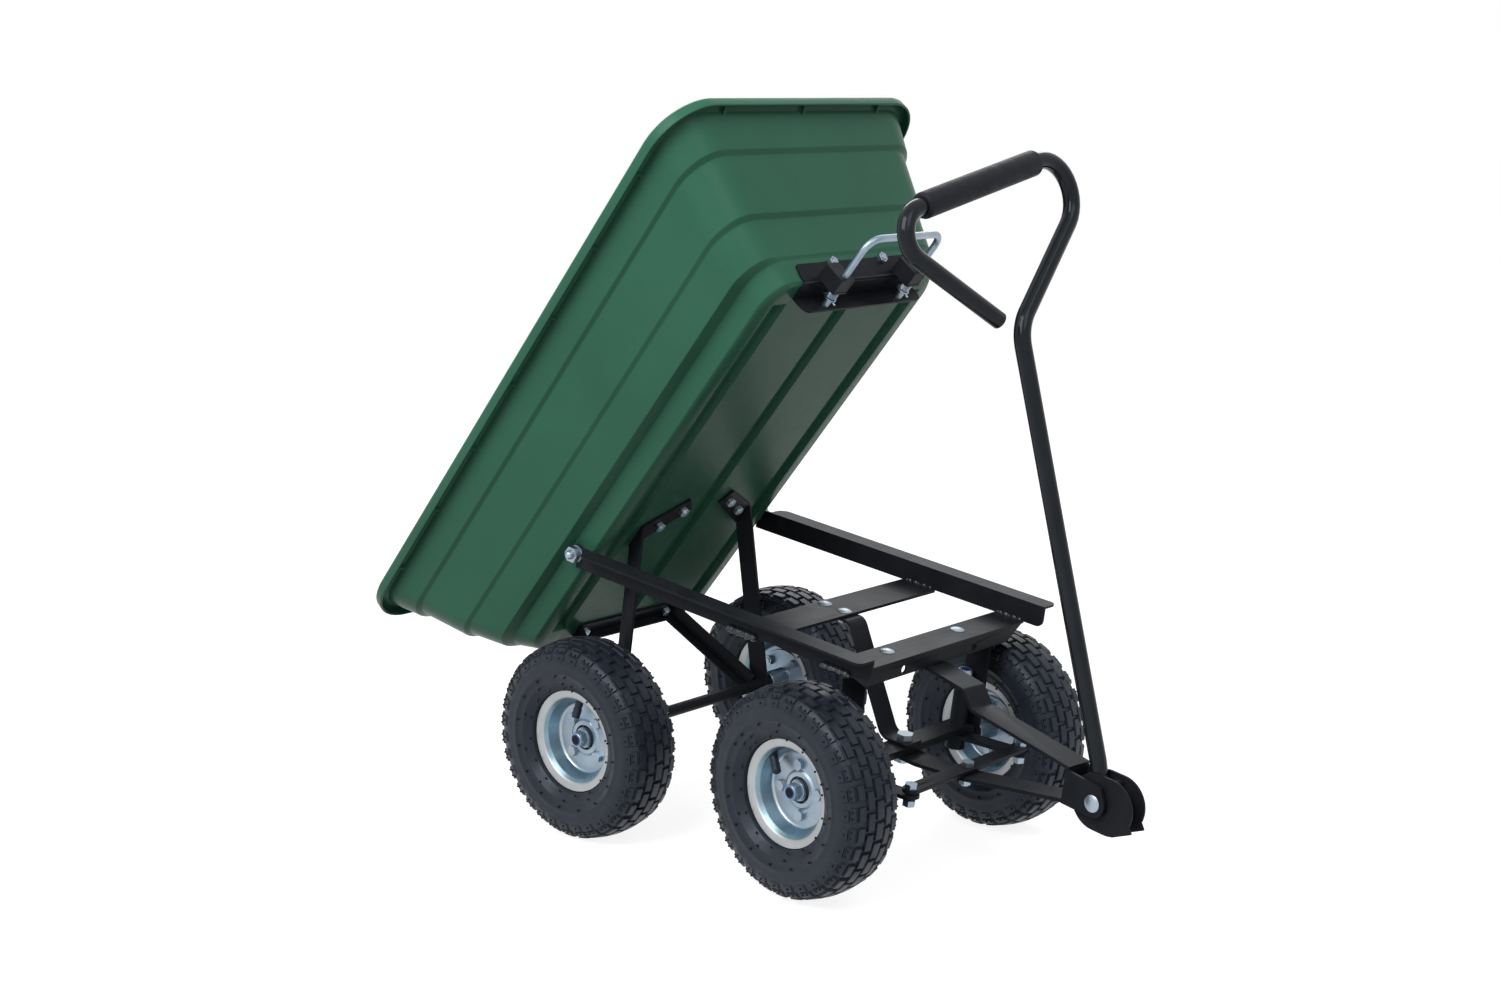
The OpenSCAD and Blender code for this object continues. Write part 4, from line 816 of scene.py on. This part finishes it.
def add_web(bm, tray, place):
    """Thin web between the wall and the rim, standing across a place."""
    inner = tray.wall_t / 2
    reach = tray.rim_reach * WEB_REACH
    top = tray.rim_reach * WEB_TOP
    spots = ((-inner, top), (reach, top), (reach, top - tray.web_h / 2), (-inner, top - tray.web_h))
    upright = Matrix.Translation((0, tray.web_t / 2, 0)) @ Matrix.Rotation(math.pi / 2, 4, "X")
    plate(bm, place @ upright, spots, tray.web_t)


def build_tray():
    """Tray with stepped walls, turned-down rim, webs and channels."""
    tray = sizes("tray")
    bm = bmesh.new()
    spokes = bm.verts.layers.float_vector.new("spoke")
    steps = 4 * tray.corner_steps
    half_step = Matrix.Rotation(math.pi / steps, 4, "Z")
    verts = bmesh.ops.create_circle(bm, segments=steps, radius=1, matrix=half_step)["verts"]
    for vert in verts:
        vert[spokes] = vert.co
    top = WALL_SHARES[-1]
    levels = [(row, 0, 0) for row in WALL_SHARES]
    levels += [(top, out * tray.rim_reach, up * tray.rim_reach) for out, up in RIM_SHARES]
    levels += [(row, -tray.wall_t, tray.wall_t) for row in reversed(WALL_SHARES)]
    set_ring(tray, verts, spokes, *levels[0])
    rings = [ring_edges(verts)]
    for level in levels[1:]:
        made = bmesh.ops.extrude_edge_only(bm, edges=rings[-1])["geom"]
        set_ring(tray, only(VERT, made), spokes, *level)
        rings.append(only(EDGE, made))
    first = len(WALL_SHARES)
    last = first + len(RIM_SHARES)
    rim = [edge for ring in rings[first:last] for edge in ring]
    ledges = [edge for ring in rings[1:first] + rings[last:-1] for edge in ring]
    for edges, width in ((rim, tray.wall_t / 4), (ledges, tray.soft_r)):
        bmesh.ops.bevel(bm, geom=edges, offset=width, segments=3, profile=0.5, affect="EDGES",
                        clamp_overlap=True, material=-1)
    open_edges = [edge for edge in bm.edges if edge.is_boundary]
    level = tray.wall_t / 2 - tray.bottom_drop
    for depth, wanted in ((-tray.channel_deep, -1), (tray.channel_deep, 1)):
        loop = [edge for edge in open_edges if (edge.verts[0].co.z - level) * wanted > 0]
        cap = only(FACE, bmesh.ops.contextual_create(bm, geom=loop)["faces"])[0]
        bmesh.ops.recalc_face_normals(bm, faces=bm.faces)
        press_channels(bm, cap, tray, depth)
    height = tray.wall_h - tray.bottom_drop
    for side in (-1, 1):
        outward = Matrix.Rotation(side * math.pi / 2, 4, "Z")
        for count in range(SIDE_WEBS):
            along = tray.bottom_front - count * tray.web_pitch
            add_web(bm, tray, Matrix.Translation((along, side * tray.top_half, height)) @ outward)
    for end, turn in ((tray.top_front, 0), (-tray.top_back, math.pi)):
        for share in END_WEBS:
            spot = Matrix.Translation((end, share * tray.top_half, height))
            add_web(bm, tray, spot @ Matrix.Rotation(turn, 4, "Z"))
    show_piece(bm, tray_place(), "tray_moulding", "tray_unit", ["moulded green"], ["tray"])


class CART_OT_tray(bpy.types.Operator):
    """Make the moulded tray"""

    bl_idname = "cart.tray"
    bl_label = "Tray"

    def execute(self, context):
        build_tray()
        return {"FINISHED"}


# Wheels


def tyre_outline(wheel):
    """Half outline of the tyre from the middle of the tread: radius, offset, block that starts there."""
    line = []
    for share, block in CROWN_ROWS:
        radius = wheel.tyre_r - wheel.tread_deep - wheel.crown_drop * share * share
        line.append((radius, share * wheel.tread_half, block))
    high = wheel.tyre_r - wheel.crown_drop - wheel.bulge_r
    wide = wheel.bulge_half - wheel.tread_half
    for degrees, block in SHOULDER_ROWS:
        inset = wheel.tread_deep * (1 - (1 - WALL_SINK) * degrees / 90)
        angle = math.radians(degrees)
        line.append((wheel.bulge_r + (high - inset) * math.cos(angle),
                     wheel.tread_half + (wide - inset) * math.sin(angle), block))
    low = wheel.bulge_r - wheel.foot_r
    thick = wheel.bulge_half - wheel.foot_half
    for degrees, stand in SIDE_ROWS:
        angle = math.radians(degrees)
        inset = wheel.tread_deep * WALL_SINK * math.cos(angle) - stand
        line.append((wheel.bulge_r - low * math.sin(angle), wheel.foot_half + thick * math.cos(angle) - inset,
                     "wall"))
    return line


def raise_blocks(bm, wheel, stations, kinds):
    """Lifts the tread's blocks out of the spun tyre."""
    step = math.tau / (wheel.pitches * wheel.columns)
    groups = {}
    for face in bm.faces:
        rows = sorted(vert[stations] for vert in face.verts)
        kind = kinds.get(rows[0]) if rows[-1] == rows[0] + 1 else None
        if kind not in BLOCKS:
            continue
        width, outer_shift, inner_shift, share = BLOCKS[kind]
        middle = face.calc_center_median()
        shift = outer_shift if middle.z > 0 else inner_shift
        column = int((math.atan2(middle.y, middle.x) % math.tau) / step) + shift
        if column % wheel.columns < width:
            groups.setdefault(kind, []).append(face)
    for kind, faces in groups.items():
        share = BLOCKS[kind][3]
        bmesh.ops.inset_region(bm, faces=faces, thickness=BLOCK_SLOPE + BLOCK_SLOPE * share, use_even_offset=True,
                               depth=wheel.tread_deep * share * BLOCK_RISE)


def tyre_mesh():
    """Tyre with its tread, panels and moulding nubs, in the wheel's own frame."""
    wheel = sizes("wheel")
    half = tyre_outline(wheel)
    line = [(radius, -offset, kind) for radius, offset, kind in reversed(half[1:])] + half
    kinds = {}
    for index, (radius, offset, kind) in enumerate(line[:-1]):
        kinds[index] = kind if offset >= 0 else line[index + 1][2]
    bore = [(wheel.bead_r, wheel.foot_half), (wheel.bead_r, BEAD_HALF), (wheel.bulge_r, ROOM_HALF),
            (wheel.tyre_r - CROWN_T, CROWN_HALF)]
    bore = rounded(bore + [(radius, -offset) for radius, offset in reversed(bore)], BORE_ROUNDS, steps=3)
    bm = bmesh.new()
    stations = bm.verts.layers.int.new("station")
    points = [(radius, offset) for radius, offset, kind in line] + bore
    lathe(bm, points, wheel.pitches * wheel.columns, closed=True, stations=stations)
    bmesh.ops.recalc_face_normals(bm, faces=bm.faces)
    raise_blocks(bm, wheel, stations, kinds)
    add_nubs(bm, wheel, half)
    return bm


def add_nubs(bm, wheel, half):
    """Small moulding nubs round both sides, coloured near black as painted shade."""
    for wanted, row, sink, phase, stand, pace in NUB_ROWS:
        radius, offset = [(radius, offset) for radius, offset, kind in half if kind == wanted][row]
        for count in range(0, wheel.pitches, pace):
            turn = Matrix.Rotation(math.tau * (count + phase) / wheel.pitches, 4, "Z")
            for side in (-1, 1):
                spot = Matrix.Translation((radius - sink, 0, side * (offset + stand / 2)))
                face = Matrix.Rotation(0 if side > 0 else math.pi, 4, "X")
                made = bmesh.ops.create_cone(bm, cap_ends=True, segments=6, radius1=NUB_FOOT_R, radius2=NUB_TOP_R,
                                             depth=stand * 2, matrix=turn @ spot @ face)
                for nub in {nub for vert in made["verts"] for nub in vert.link_faces}:
                    # The nubs take the second finish, whose near black is painted shade
                    nub.material_index = SECOND


def rim_mesh():
    """Pressed rim in two halves, in the wheel's own frame."""
    wheel = sizes("wheel")
    bm = bmesh.new()
    for face in lathe(bm, rounded(RIM_LINE, RIM_ROUNDS, steps=5), wheel.rim_steps):
        middle = face.calc_center_median()
        # Flange faces take the paler zinc as painted reflection, well faces the darker zinc as painted shade
        if middle.to_2d().length > wheel.flange_r:
            face.material_index = THIRD
        elif middle.z > wheel.well_z:
            face.material_index = SECOND
    bmesh.ops.remove_doubles(bm, verts=bm.verts, dist=MERGE)
    bmesh.ops.recalc_face_normals(bm, faces=bm.faces)
    bmesh.ops.solidify(bm, geom=bm.faces, thickness=wheel.rim_t)
    copied = bmesh.ops.duplicate(bm, geom=list(bm.verts) + list(bm.edges) + list(bm.faces))["geom"]
    bmesh.ops.scale(bm, vec=(1, 1, -1), verts=only(VERT, copied))
    bmesh.ops.reverse_faces(bm, faces=only(FACE, copied))
    return bm


def valve_mesh():
    """Inner tube with its valve stem, collar and cap, in the wheel's own frame."""
    wheel = sizes("wheel")
    bm = bmesh.new()
    angles = [step * math.tau / TUBE_SIDES for step in range(TUBE_SIDES)]
    tube = [(TUBE_R + TUBE_HALF_H * math.cos(angle), TUBE_HALF_W * math.sin(angle)) for angle in angles]
    lathe(bm, tube, TURNED_STEPS, closed=True)
    before = set(bm.verts)
    lathe(bm, STEM_LINE + ((STEM_FOOT_R, wheel.valve_len), (0.0, wheel.valve_len)), STEM_STEPS)
    for face in lathe(bm, STEM_COLLAR, STEM_STEPS, closed=True):
        face.material_index = SECOND
    place = Matrix.Translation(STEM_SPOT) @ Matrix.Rotation(wheel.valve_lean, 4, "Y")
    bmesh.ops.transform(bm, matrix=place, verts=[vert for vert in bm.verts if vert not in before])
    return bm


def seal_mesh():
    """Bearing seal in the hub's end, in the wheel's own frame."""
    bm = bmesh.new()
    lathe(bm, SEAL_LINE, TURNED_STEPS, closed=True)
    return bm


class CART_OT_wheels(bpy.types.Operator):
    """Make the tyres, rims, valves and bearings"""

    bl_idname = "cart.wheels"
    bl_label = "Wheels"

    def execute(self, context):
        shapes = (("tyre", "tyre_tread", tyre_mesh(), "tyre_rubber", ("tyre rubber", "nub rubber")),
                  ("rim", "rim_pressing", rim_mesh(), "zinc", ("zinc plate", "blue plate", "pale plate")),
                  ("inner_tube", "tube_and_valve", valve_mesh(), "tube_rubber", ("tyre rubber", "zinc plate")),
                  (None, "bearing_seal", seal_mesh(), "tube_rubber", ("tyre rubber",)))
        for name, side in WHEELS:
            place = wheel_place(name, side)
            for node, label, shape, slot, finishes in shapes:
                nodes = [f"{name}_{node}"] if node else []
                show_piece(shape.copy(), place, f"{name}_{label}", name + "_wheel", finishes, nodes)
        for node, label, shape, slot, finishes in shapes:
            shape.free()
        return {"FINISHED"}


# Handle


def meeting(first, first_angle, second, second_angle):
    """Point where two lines cross in a plane."""
    gap = second - first
    across = gap.x * math.sin(second_angle) - gap.y * math.cos(second_angle)
    reach = across / math.sin(second_angle - first_angle)
    return first + Vector((math.cos(first_angle), math.sin(first_angle))) * reach


def handle_path():
    """Corners of the handle in its plane, with the grip's two ends."""
    handle = sizes("handle")
    start = Vector((0, handle.branch_s))
    end = Vector((-handle.stub_gap, handle.stub_s))
    middle = Vector((0, handle.grip_s))
    right = meeting(start, handle.right_rise, middle, handle.grip_skew)
    left = meeting(end, math.pi - handle.left_rise, middle, handle.grip_skew)
    way = (right - left).normalized()
    grip_from = left + way * handle.left_bend / math.tan((handle.grip_skew + handle.left_rise) / 2)
    grip_to = right - way * handle.right_bend / math.tan((handle.right_rise - handle.grip_skew) / 2)
    turn = Matrix.Rotation(handle.set_turn, 2)
    foot = Vector((0, handle.set_s))
    bent = [foot + turn @ (point - foot) for point in (start, right, left, end, grip_from, grip_to)]
    corners = [Vector((0, -handle.foot_end)), foot] + bent[:4]
    return [Vector((0, y, s)) for y, s in corners], [Vector((0, y, s)) for y, s in bent[4:]]


class CART_OT_handle(bpy.types.Operator):
    """Make the handle tube and its grip"""

    bl_idname = "cart.handle"
    bl_label = "Handle"

    def execute(self, context):
        handle = sizes("handle")
        place = handle_place()
        corners, (start, end) = handle_path()
        bends = (SET_BEND, handle.shaft_bend, handle.right_bend, handle.left_bend)
        bm = bmesh.new()
        outer = bent_tube(bm, corners, bends, handle.tube_r, around=32, steps=14)
        inner = bent_tube(bm, corners, bends, handle.tube_r - handle.tube_wall, around=32, steps=14)
        for first, second in zip(outer, inner):
            bmesh.ops.bridge_loops(bm, edges=first + second)
        tube = show_piece(bm, place, "handle_bent_tube", "handle", ["glossy coat"], ["handle_tube"])
        soften(tube, handle.tube_wall / 4)
        way = (end - start).normalized()
        spot = (start + end) / 2 - way * handle.grip_len / 2
        lie = way.to_track_quat("Z", "X").to_matrix().to_4x4()
        bore = handle.tube_r + GRIP_ROOM
        points = ((bore, 0), (handle.grip_r, 0), (handle.grip_r, handle.grip_len), (bore, handle.grip_len))
        bm = bmesh.new()
        lathe(bm, rounded(points, (GRIP_ROUND, GRIP_ROUND), steps=6), TURNED_STEPS, closed=True)
        show_piece(bm, place @ Matrix.Translation(spot) @ lie, "handle_foam_grip", "handle", ["grip foam"],
                   ["handle_grip"])
        return {"FINISHED"}


# Latch


def front_spot(tray, row):
    """Middle of the tray's front wall at one of its levels, in the tray's frame."""
    height, side, front, back = row
    return Vector((mix(tray.bottom_front, tray.top_front, front), 0, height * tray.wall_h - tray.bottom_drop))


def latch_plates(latch, tray):
    """Ear plate, base plate, tab and two boxed legs, in the tray's frame."""
    ahead = Vector((1, 0, 0))
    up = Vector((0, 0, 1))
    thick = latch.plate_t
    level = -tray.bottom_drop - PLATE_GAP
    rods = [(side * latch.half, -latch.drop, latch.rod_r + ROD_ROOM) for side in (-1, 1)]
    bm = bmesh.new()
    half = latch.plate_half
    ear = ((-half, level), (-half, -latch.ear_low), (half, -latch.ear_low), (half, level))
    ear = rounded(ear, (latch.round_r, latch.round_r), steps=8)
    plate(bm, facing(ahead * latch.ear_u, ACROSS, up), ear, thick, rods)
    foot = front_spot(tray, WALL_SHARES[1])
    head = front_spot(tray, WALL_SHARES[2])
    base = oblong(latch.ear_u + PLATE_INSET, PLATE_INSET - half, foot.x + thick, half - PLATE_INSET)
    plate(bm, facing(up * (level - thick), ahead, ACROSS), base, thick)
    half = latch.tab_half
    top = TAB_FOOT + latch.tab_h
    tab = ((0, top), (-half, top), (-half, TAB_FOOT), (half, TAB_FOOT), (half, top), (TAB_SEAM, top))
    foot_round = latch.round_r * TAB_FOOT_ROUND
    rounds = (TAB_TOP_ROUND, foot_round, foot_round, TAB_TOP_ROUND)
    across, height, bolt_r = TAB_BOLT
    bolts = [(side * across, height, bolt_r) for side in (-1, 1)]
    slope = (head - foot).normalized()
    plate(bm, facing(foot + ahead * PLATE_GAP, ACROSS, slope), rounded(tab, rounds, steps=8), thick, bolts)
    low = -latch.ear_low
    high = -latch.leg_top
    near = latch.leg_u
    far = near + latch.leg_len
    for rod in rods:
        left = rod[0] - latch.leg_w / 2
        right = left + latch.leg_w
        for spot in (near, far - thick):
            plate(bm, facing(ahead * spot, ACROSS, up), oblong(left, low, right, high), thick, [rod])
        wall = oblong(near + thick / 2, low + PLATE_INSET, far - thick / 2, high - PLATE_INSET)
        for spot in (left + PLATE_GAP + thick, right - PLATE_GAP):
            plate(bm, facing(ACROSS * spot, ahead, up), wall, thick)
        lid = oblong(near + thick / 2, left + thick / 2, far - thick / 2, right - thick / 2)
        for spot in (low + LID_INSET, high - thick - LID_INSET):
            plate(bm, facing(up * spot, ahead, ACROSS), lid, thick)
    return bm


def latch_rod(latch):
    """Rod with its two pins and finger loop, in the tray's frame."""
    bm = bmesh.new()
    corners = [Vector((along, side * latch.half, -latch.drop))
               for along, side in ((latch.tip_u, -1), (latch.front_u, -1), (latch.front_u, 1), (latch.tip_u, 1))]
    for loop in bent_tube(bm, corners, (latch.bend_r, latch.bend_r), latch.rod_r, around=24, steps=12):
        bmesh.ops.contextual_create(bm, geom=loop)
    return bm


def latch_coils(latch, start, end):
    """Two coil springs between two places along the rod, in the tray's frame."""
    bm = bmesh.new()
    steps = latch.turns * COIL_STEPS
    for side in (-1, 1):
        spot = Vector((start, side * latch.half, latch.spring_r - latch.drop))
        stand = Matrix.Translation(spot) @ Matrix.Rotation(math.pi / 2, 4, "X")
        section = bmesh.ops.create_circle(bm, segments=WIRE_SIDES, radius=latch.wire_r, matrix=stand)
        bmesh.ops.spin(bm, geom=ring_edges(section["verts"]), cent=(0, side * latch.half, -latch.drop),
                       axis=(1, 0, 0), dvec=((end - start) / steps, 0, 0), angle=math.tau * latch.turns,
                       steps=steps)
    bmesh.ops.holes_fill(bm, edges=[edge for edge in bm.edges if edge.is_boundary], sides=WIRE_SIDES)
    return bm


class CART_OT_latch(bpy.types.Operator):
    """Make the plates, rod and coil springs of the latch"""

    bl_idname = "cart.latch"
    bl_label = "Latch"

    def execute(self, context):
        latch = sizes("latch")
        place = tray_place()
        back = place.inverted()
        along = [(back @ vert.co).x for vert in frame["nodes"]["latch_springs"].data.vertices]
        start = min(along) + latch.wire_r
        end = max(along) - latch.wire_r
        if end <= start:
            raise RuntimeError("the latch springs have no room")
        plates = show_piece(latch_plates(latch, sizes("tray")), place, "latch_plates", "tray_unit",
                            ["black coat"], ["latch_bracket"])
        soften(plates, latch.plate_t / 4)
        rod = show_piece(latch_rod(latch), place, "latch_finger_rod", "latch", ["zinc plate"],
                         ["latch_bail"])
        soften(rod, latch.rod_r / 4)
        coils = show_piece(latch_coils(latch, start, end), place, "latch_coils", None, ["zinc plate"],
                           ["latch_springs"])
        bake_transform(coils)
        return {"FINISHED"}


# Steelwork


class CART_OT_steelwork(bpy.types.Operator):
    """Give the steel parts their finish and round their edges"""

    bl_idname = "cart.steelwork"
    bl_label = "Steelwork"

    def execute(self, context):
        steel = sizes("steel")
        slots = {part["node"]: part["material_slot"] for part in frame["record"]["subparts"]}
        for name, node in frame["nodes"].items():
            node.data.materials.clear()
            node.data.materials.append(finish(SLOT_FINISHES[slots[name]]))
            weld = node.modifiers.new("Joined corners", "WELD")
            weld.merge_threshold = MERGE
            soften(node, steel.edge_r)
        return {"FINISHED"}


# Lock nuts


def lock_ring_mesh(wheel):
    """Collar of a lock nut with its nylon ring, in the wheel's own frame."""
    bm = bmesh.new()
    collar, nylon = [[(radius, wheel.nut_top + up) for radius, up in line] for line in (COLLAR_LINE, NYLON_LINE)]
    lathe(bm, collar, RING_STEPS, closed=True)
    for face in lathe(bm, nylon, RING_STEPS, closed=True):
        face.material_index = SECOND
    return bm


def kingpin_place(knuckle):
    """Place whose z runs up a kingpin and meets the top of its nut where an axle's ring meets its own."""
    spot = joint_spot(knuckle + "_turn")
    up = joint_axis(knuckle + "_turn")
    up = up * math.copysign(1, up.z)
    nuts = frame["nodes"][knuckle.replace("knuckle", "knuckle_nuts")].data.vertices
    heights = [(vert.co - spot).dot(up) for vert in nuts if (vert.co - spot).cross(up).length < NUT_REACH]
    if not heights:
        raise RuntimeError("no nut found on " + knuckle)
    return placed(spot + up * (max(heights) - sizes("wheel").nut_top), ACROSS.cross(up), up)


class CART_OT_lock_nuts(bpy.types.Operator):
    """Put collars with nylon rings on the axles' and kingpins' lock nuts"""

    bl_idname = "cart.lock_nuts"
    bl_label = "Lock nuts"

    def execute(self, context):
        bodies = {"front_right": "knuckle_right", "front_left": "knuckle_left"}
        rings = [(name, bodies.get(name, "tray_unit"), wheel_place(name, side)) for name, side in WHEELS]
        for side in ("right", "left"):
            rings.append(("kingpin_" + side, "knuckle_" + side, kingpin_place("knuckle_" + side)))
        shape = lock_ring_mesh(sizes("wheel"))
        for name, body, place in rings:
            show_piece(shape.copy(), place, name + "_lock_ring", body, ["zinc plate", "nylon"])
        shape.free()
        return {"FINISHED"}


# Welds


def weld_bead(bm, start, end, radius):
    """Row of overlapping lumps along a seam."""
    length = (end - start).length
    count = max(2, round(length / (radius * BEAD_PITCH)))
    for step in range(count + 1):
        spot = start.lerp(end, step / count)
        size = radius * (1 + BEAD_SWING * math.sin(BEAD_PACE * step))
        bmesh.ops.create_icosphere(bm, subdivisions=2, radius=size, matrix=Matrix.Translation(spot))


class CART_OT_welds(bpy.types.Operator):
    """Lay the weld beads along the rails"""

    bl_idname = "cart.welds"
    bl_label = "Welds"

    def execute(self, context):
        steel = sizes("steel")
        bm = bmesh.new()
        for side in (-1, 1):
            for run in WELD_RUNS:
                first, last = [Vector((along, side * WELD_ACROSS, WELD_UP)) for along in run]
                weld_bead(bm, first, last, steel.weld_r)
        show_piece(bm, chassis_place(), "rail_weld_beads", "frame", ["weld bead"])
        return {"FINISHED"}


# Stage


def show_white(tree, lit, seen, outlet):
    """Keeps one shader for the light and shows another to the camera, to shine and through glass."""
    rays = tree.nodes.new("ShaderNodeLightPath").outputs
    watched = worked_out(tree, "MAXIMUM", rays["Is Camera Ray"], rays["Is Glossy Ray"])
    watched = worked_out(tree, "MAXIMUM", watched, rays["Is Transmission Ray"])
    choice = add_node(tree, "MixShader", {"Fac": watched, 1: lit.outputs[0], 2: seen.outputs[0]})
    feed(tree, tree.nodes[outlet], {"Surface": choice.outputs[0]})


def floor_finish():
    """Pale floor that shows white to the camera and keeps the cart's shadow."""
    material = bpy.data.materials.new("pale floor")
    material.use_nodes = True
    tree = material.node_tree
    tree.nodes.remove(tree.nodes["Principled BSDF"])
    lit = add_node(tree, "BsdfDiffuse", {"Color": FLOOR_LIT})
    seen = add_node(tree, "BsdfDiffuse", {"Color": FLOOR_SEEN})
    glow = add_node(tree, "Emission", {"Strength": FLOOR_GLOW})
    both = add_node(tree, "AddShader", {0: seen.outputs[0], 1: glow.outputs[0]})
    show_white(tree, lit, both, "Material Output")
    return material


def lamp(name, spot, size, power):
    """Large soft lamp aimed at the cart."""
    light = bpy.data.lights.new(name, "AREA")
    light.shape = "RECTANGLE"
    light.size, light.size_y = size
    light.energy = power
    holder = in_scene(name, light)
    holder.location = spot
    holder.rotation_euler = (Vector(LAMP_AIM) - Vector(spot)).to_track_quat("-Z", "Y").to_euler()


def room_light(strength):
    """World that lights the cart softly and shows white to the camera."""
    world = bpy.data.worlds.new("Room")
    world.use_nodes = True
    tree = world.node_tree
    soft = feed(tree, tree.nodes["Background"], {"Color": WHITE, "Strength": strength})
    white = add_node(tree, "Background", {"Color": WHITE, "Strength": 1.0})
    show_white(tree, soft, white, "World Output")
    bpy.context.scene.world = world


class CART_OT_stage(bpy.types.Operator):
    """Set the camera, the floor and the light"""

    bl_idname = "cart.stage"
    bl_label = "Stage"

    def execute(self, context):
        stage = sizes("stage")
        view = bpy.data.cameras.new("Camera")
        view.lens = stage.lens
        view.sensor_width = SENSOR_W
        camera = in_scene("Camera", view)
        camera.location = stage.camera_spot
        camera.rotation_euler = (stage.camera_tilt, 0, stage.camera_pan)
        context.scene.camera = camera
        bm = bmesh.new()
        bmesh.ops.create_grid(bm, x_segments=1, y_segments=1, size=stage.floor_size)
        mesh = bpy.data.meshes.new("floor")
        bm.to_mesh(mesh)
        bm.free()
        mesh.materials.append(floor_finish())
        floor = in_scene("floor", mesh)
        floor.location.z = CAD_BOX[0].z
        for name, (spot, size, power) in LAMPS.items():
            lamp(name, spot, size, getattr(stage, power))
        room_light(stage.sky)
        context.scene.view_settings.view_transform = "Standard"
        return {"FINISHED"}


class CART_PT_pieces(bpy.types.Panel):
    """Lists the pieces of the cart and their sizes"""

    bl_label = "Tipping dump cart"
    bl_idname = "CART_PT_pieces"
    bl_space_type = "VIEW_3D"
    bl_region_type = "UI"
    bl_category = "Cart"

    def draw(self, context):
        for maker in OPERATORS:
            self.layout.operator(maker.bl_idname)
        for name, group in GROUPS.items():
            box = self.layout.box()
            box.label(text=name.title())
            for label in group.__annotations__:
                box.prop(sizes(name), label)


GROUPS = {"tray": CartTray, "wheel": CartWheel, "handle": CartHandle, "latch": CartLatch, "steel": CartSteel,
          "finish": CartFinish, "stage": CartStage}
OPERATORS = (CART_OT_steelwork, CART_OT_tray, CART_OT_wheels, CART_OT_handle, CART_OT_latch, CART_OT_lock_nuts,
             CART_OT_welds, CART_OT_stage)


def register():
    """Adds the classes and the scene's sizes."""
    for name, group in GROUPS.items():
        bpy.utils.register_class(group)
        setattr(bpy.types.Scene, "cart_" + name, PointerProperty(type=group))
    for maker in OPERATORS:
        bpy.utils.register_class(maker)
    bpy.utils.register_class(CART_PT_pieces)


def unregister():
    """Takes the classes and the sizes away again."""
    bpy.utils.unregister_class(CART_PT_pieces)
    for maker in reversed(OPERATORS):
        bpy.utils.unregister_class(maker)
    for name, group in GROUPS.items():
        delattr(bpy.types.Scene, "cart_" + name)
        bpy.utils.unregister_class(group)


def main():
    """Makes every piece."""
    register()
    bpy.ops.cart.steelwork()
    bpy.ops.cart.tray()
    bpy.ops.cart.wheels()
    bpy.ops.cart.handle()
    bpy.ops.cart.latch()
    bpy.ops.cart.lock_nuts()
    bpy.ops.cart.welds()
    bpy.ops.cart.stage()


if __name__ == "__main__":
    main()
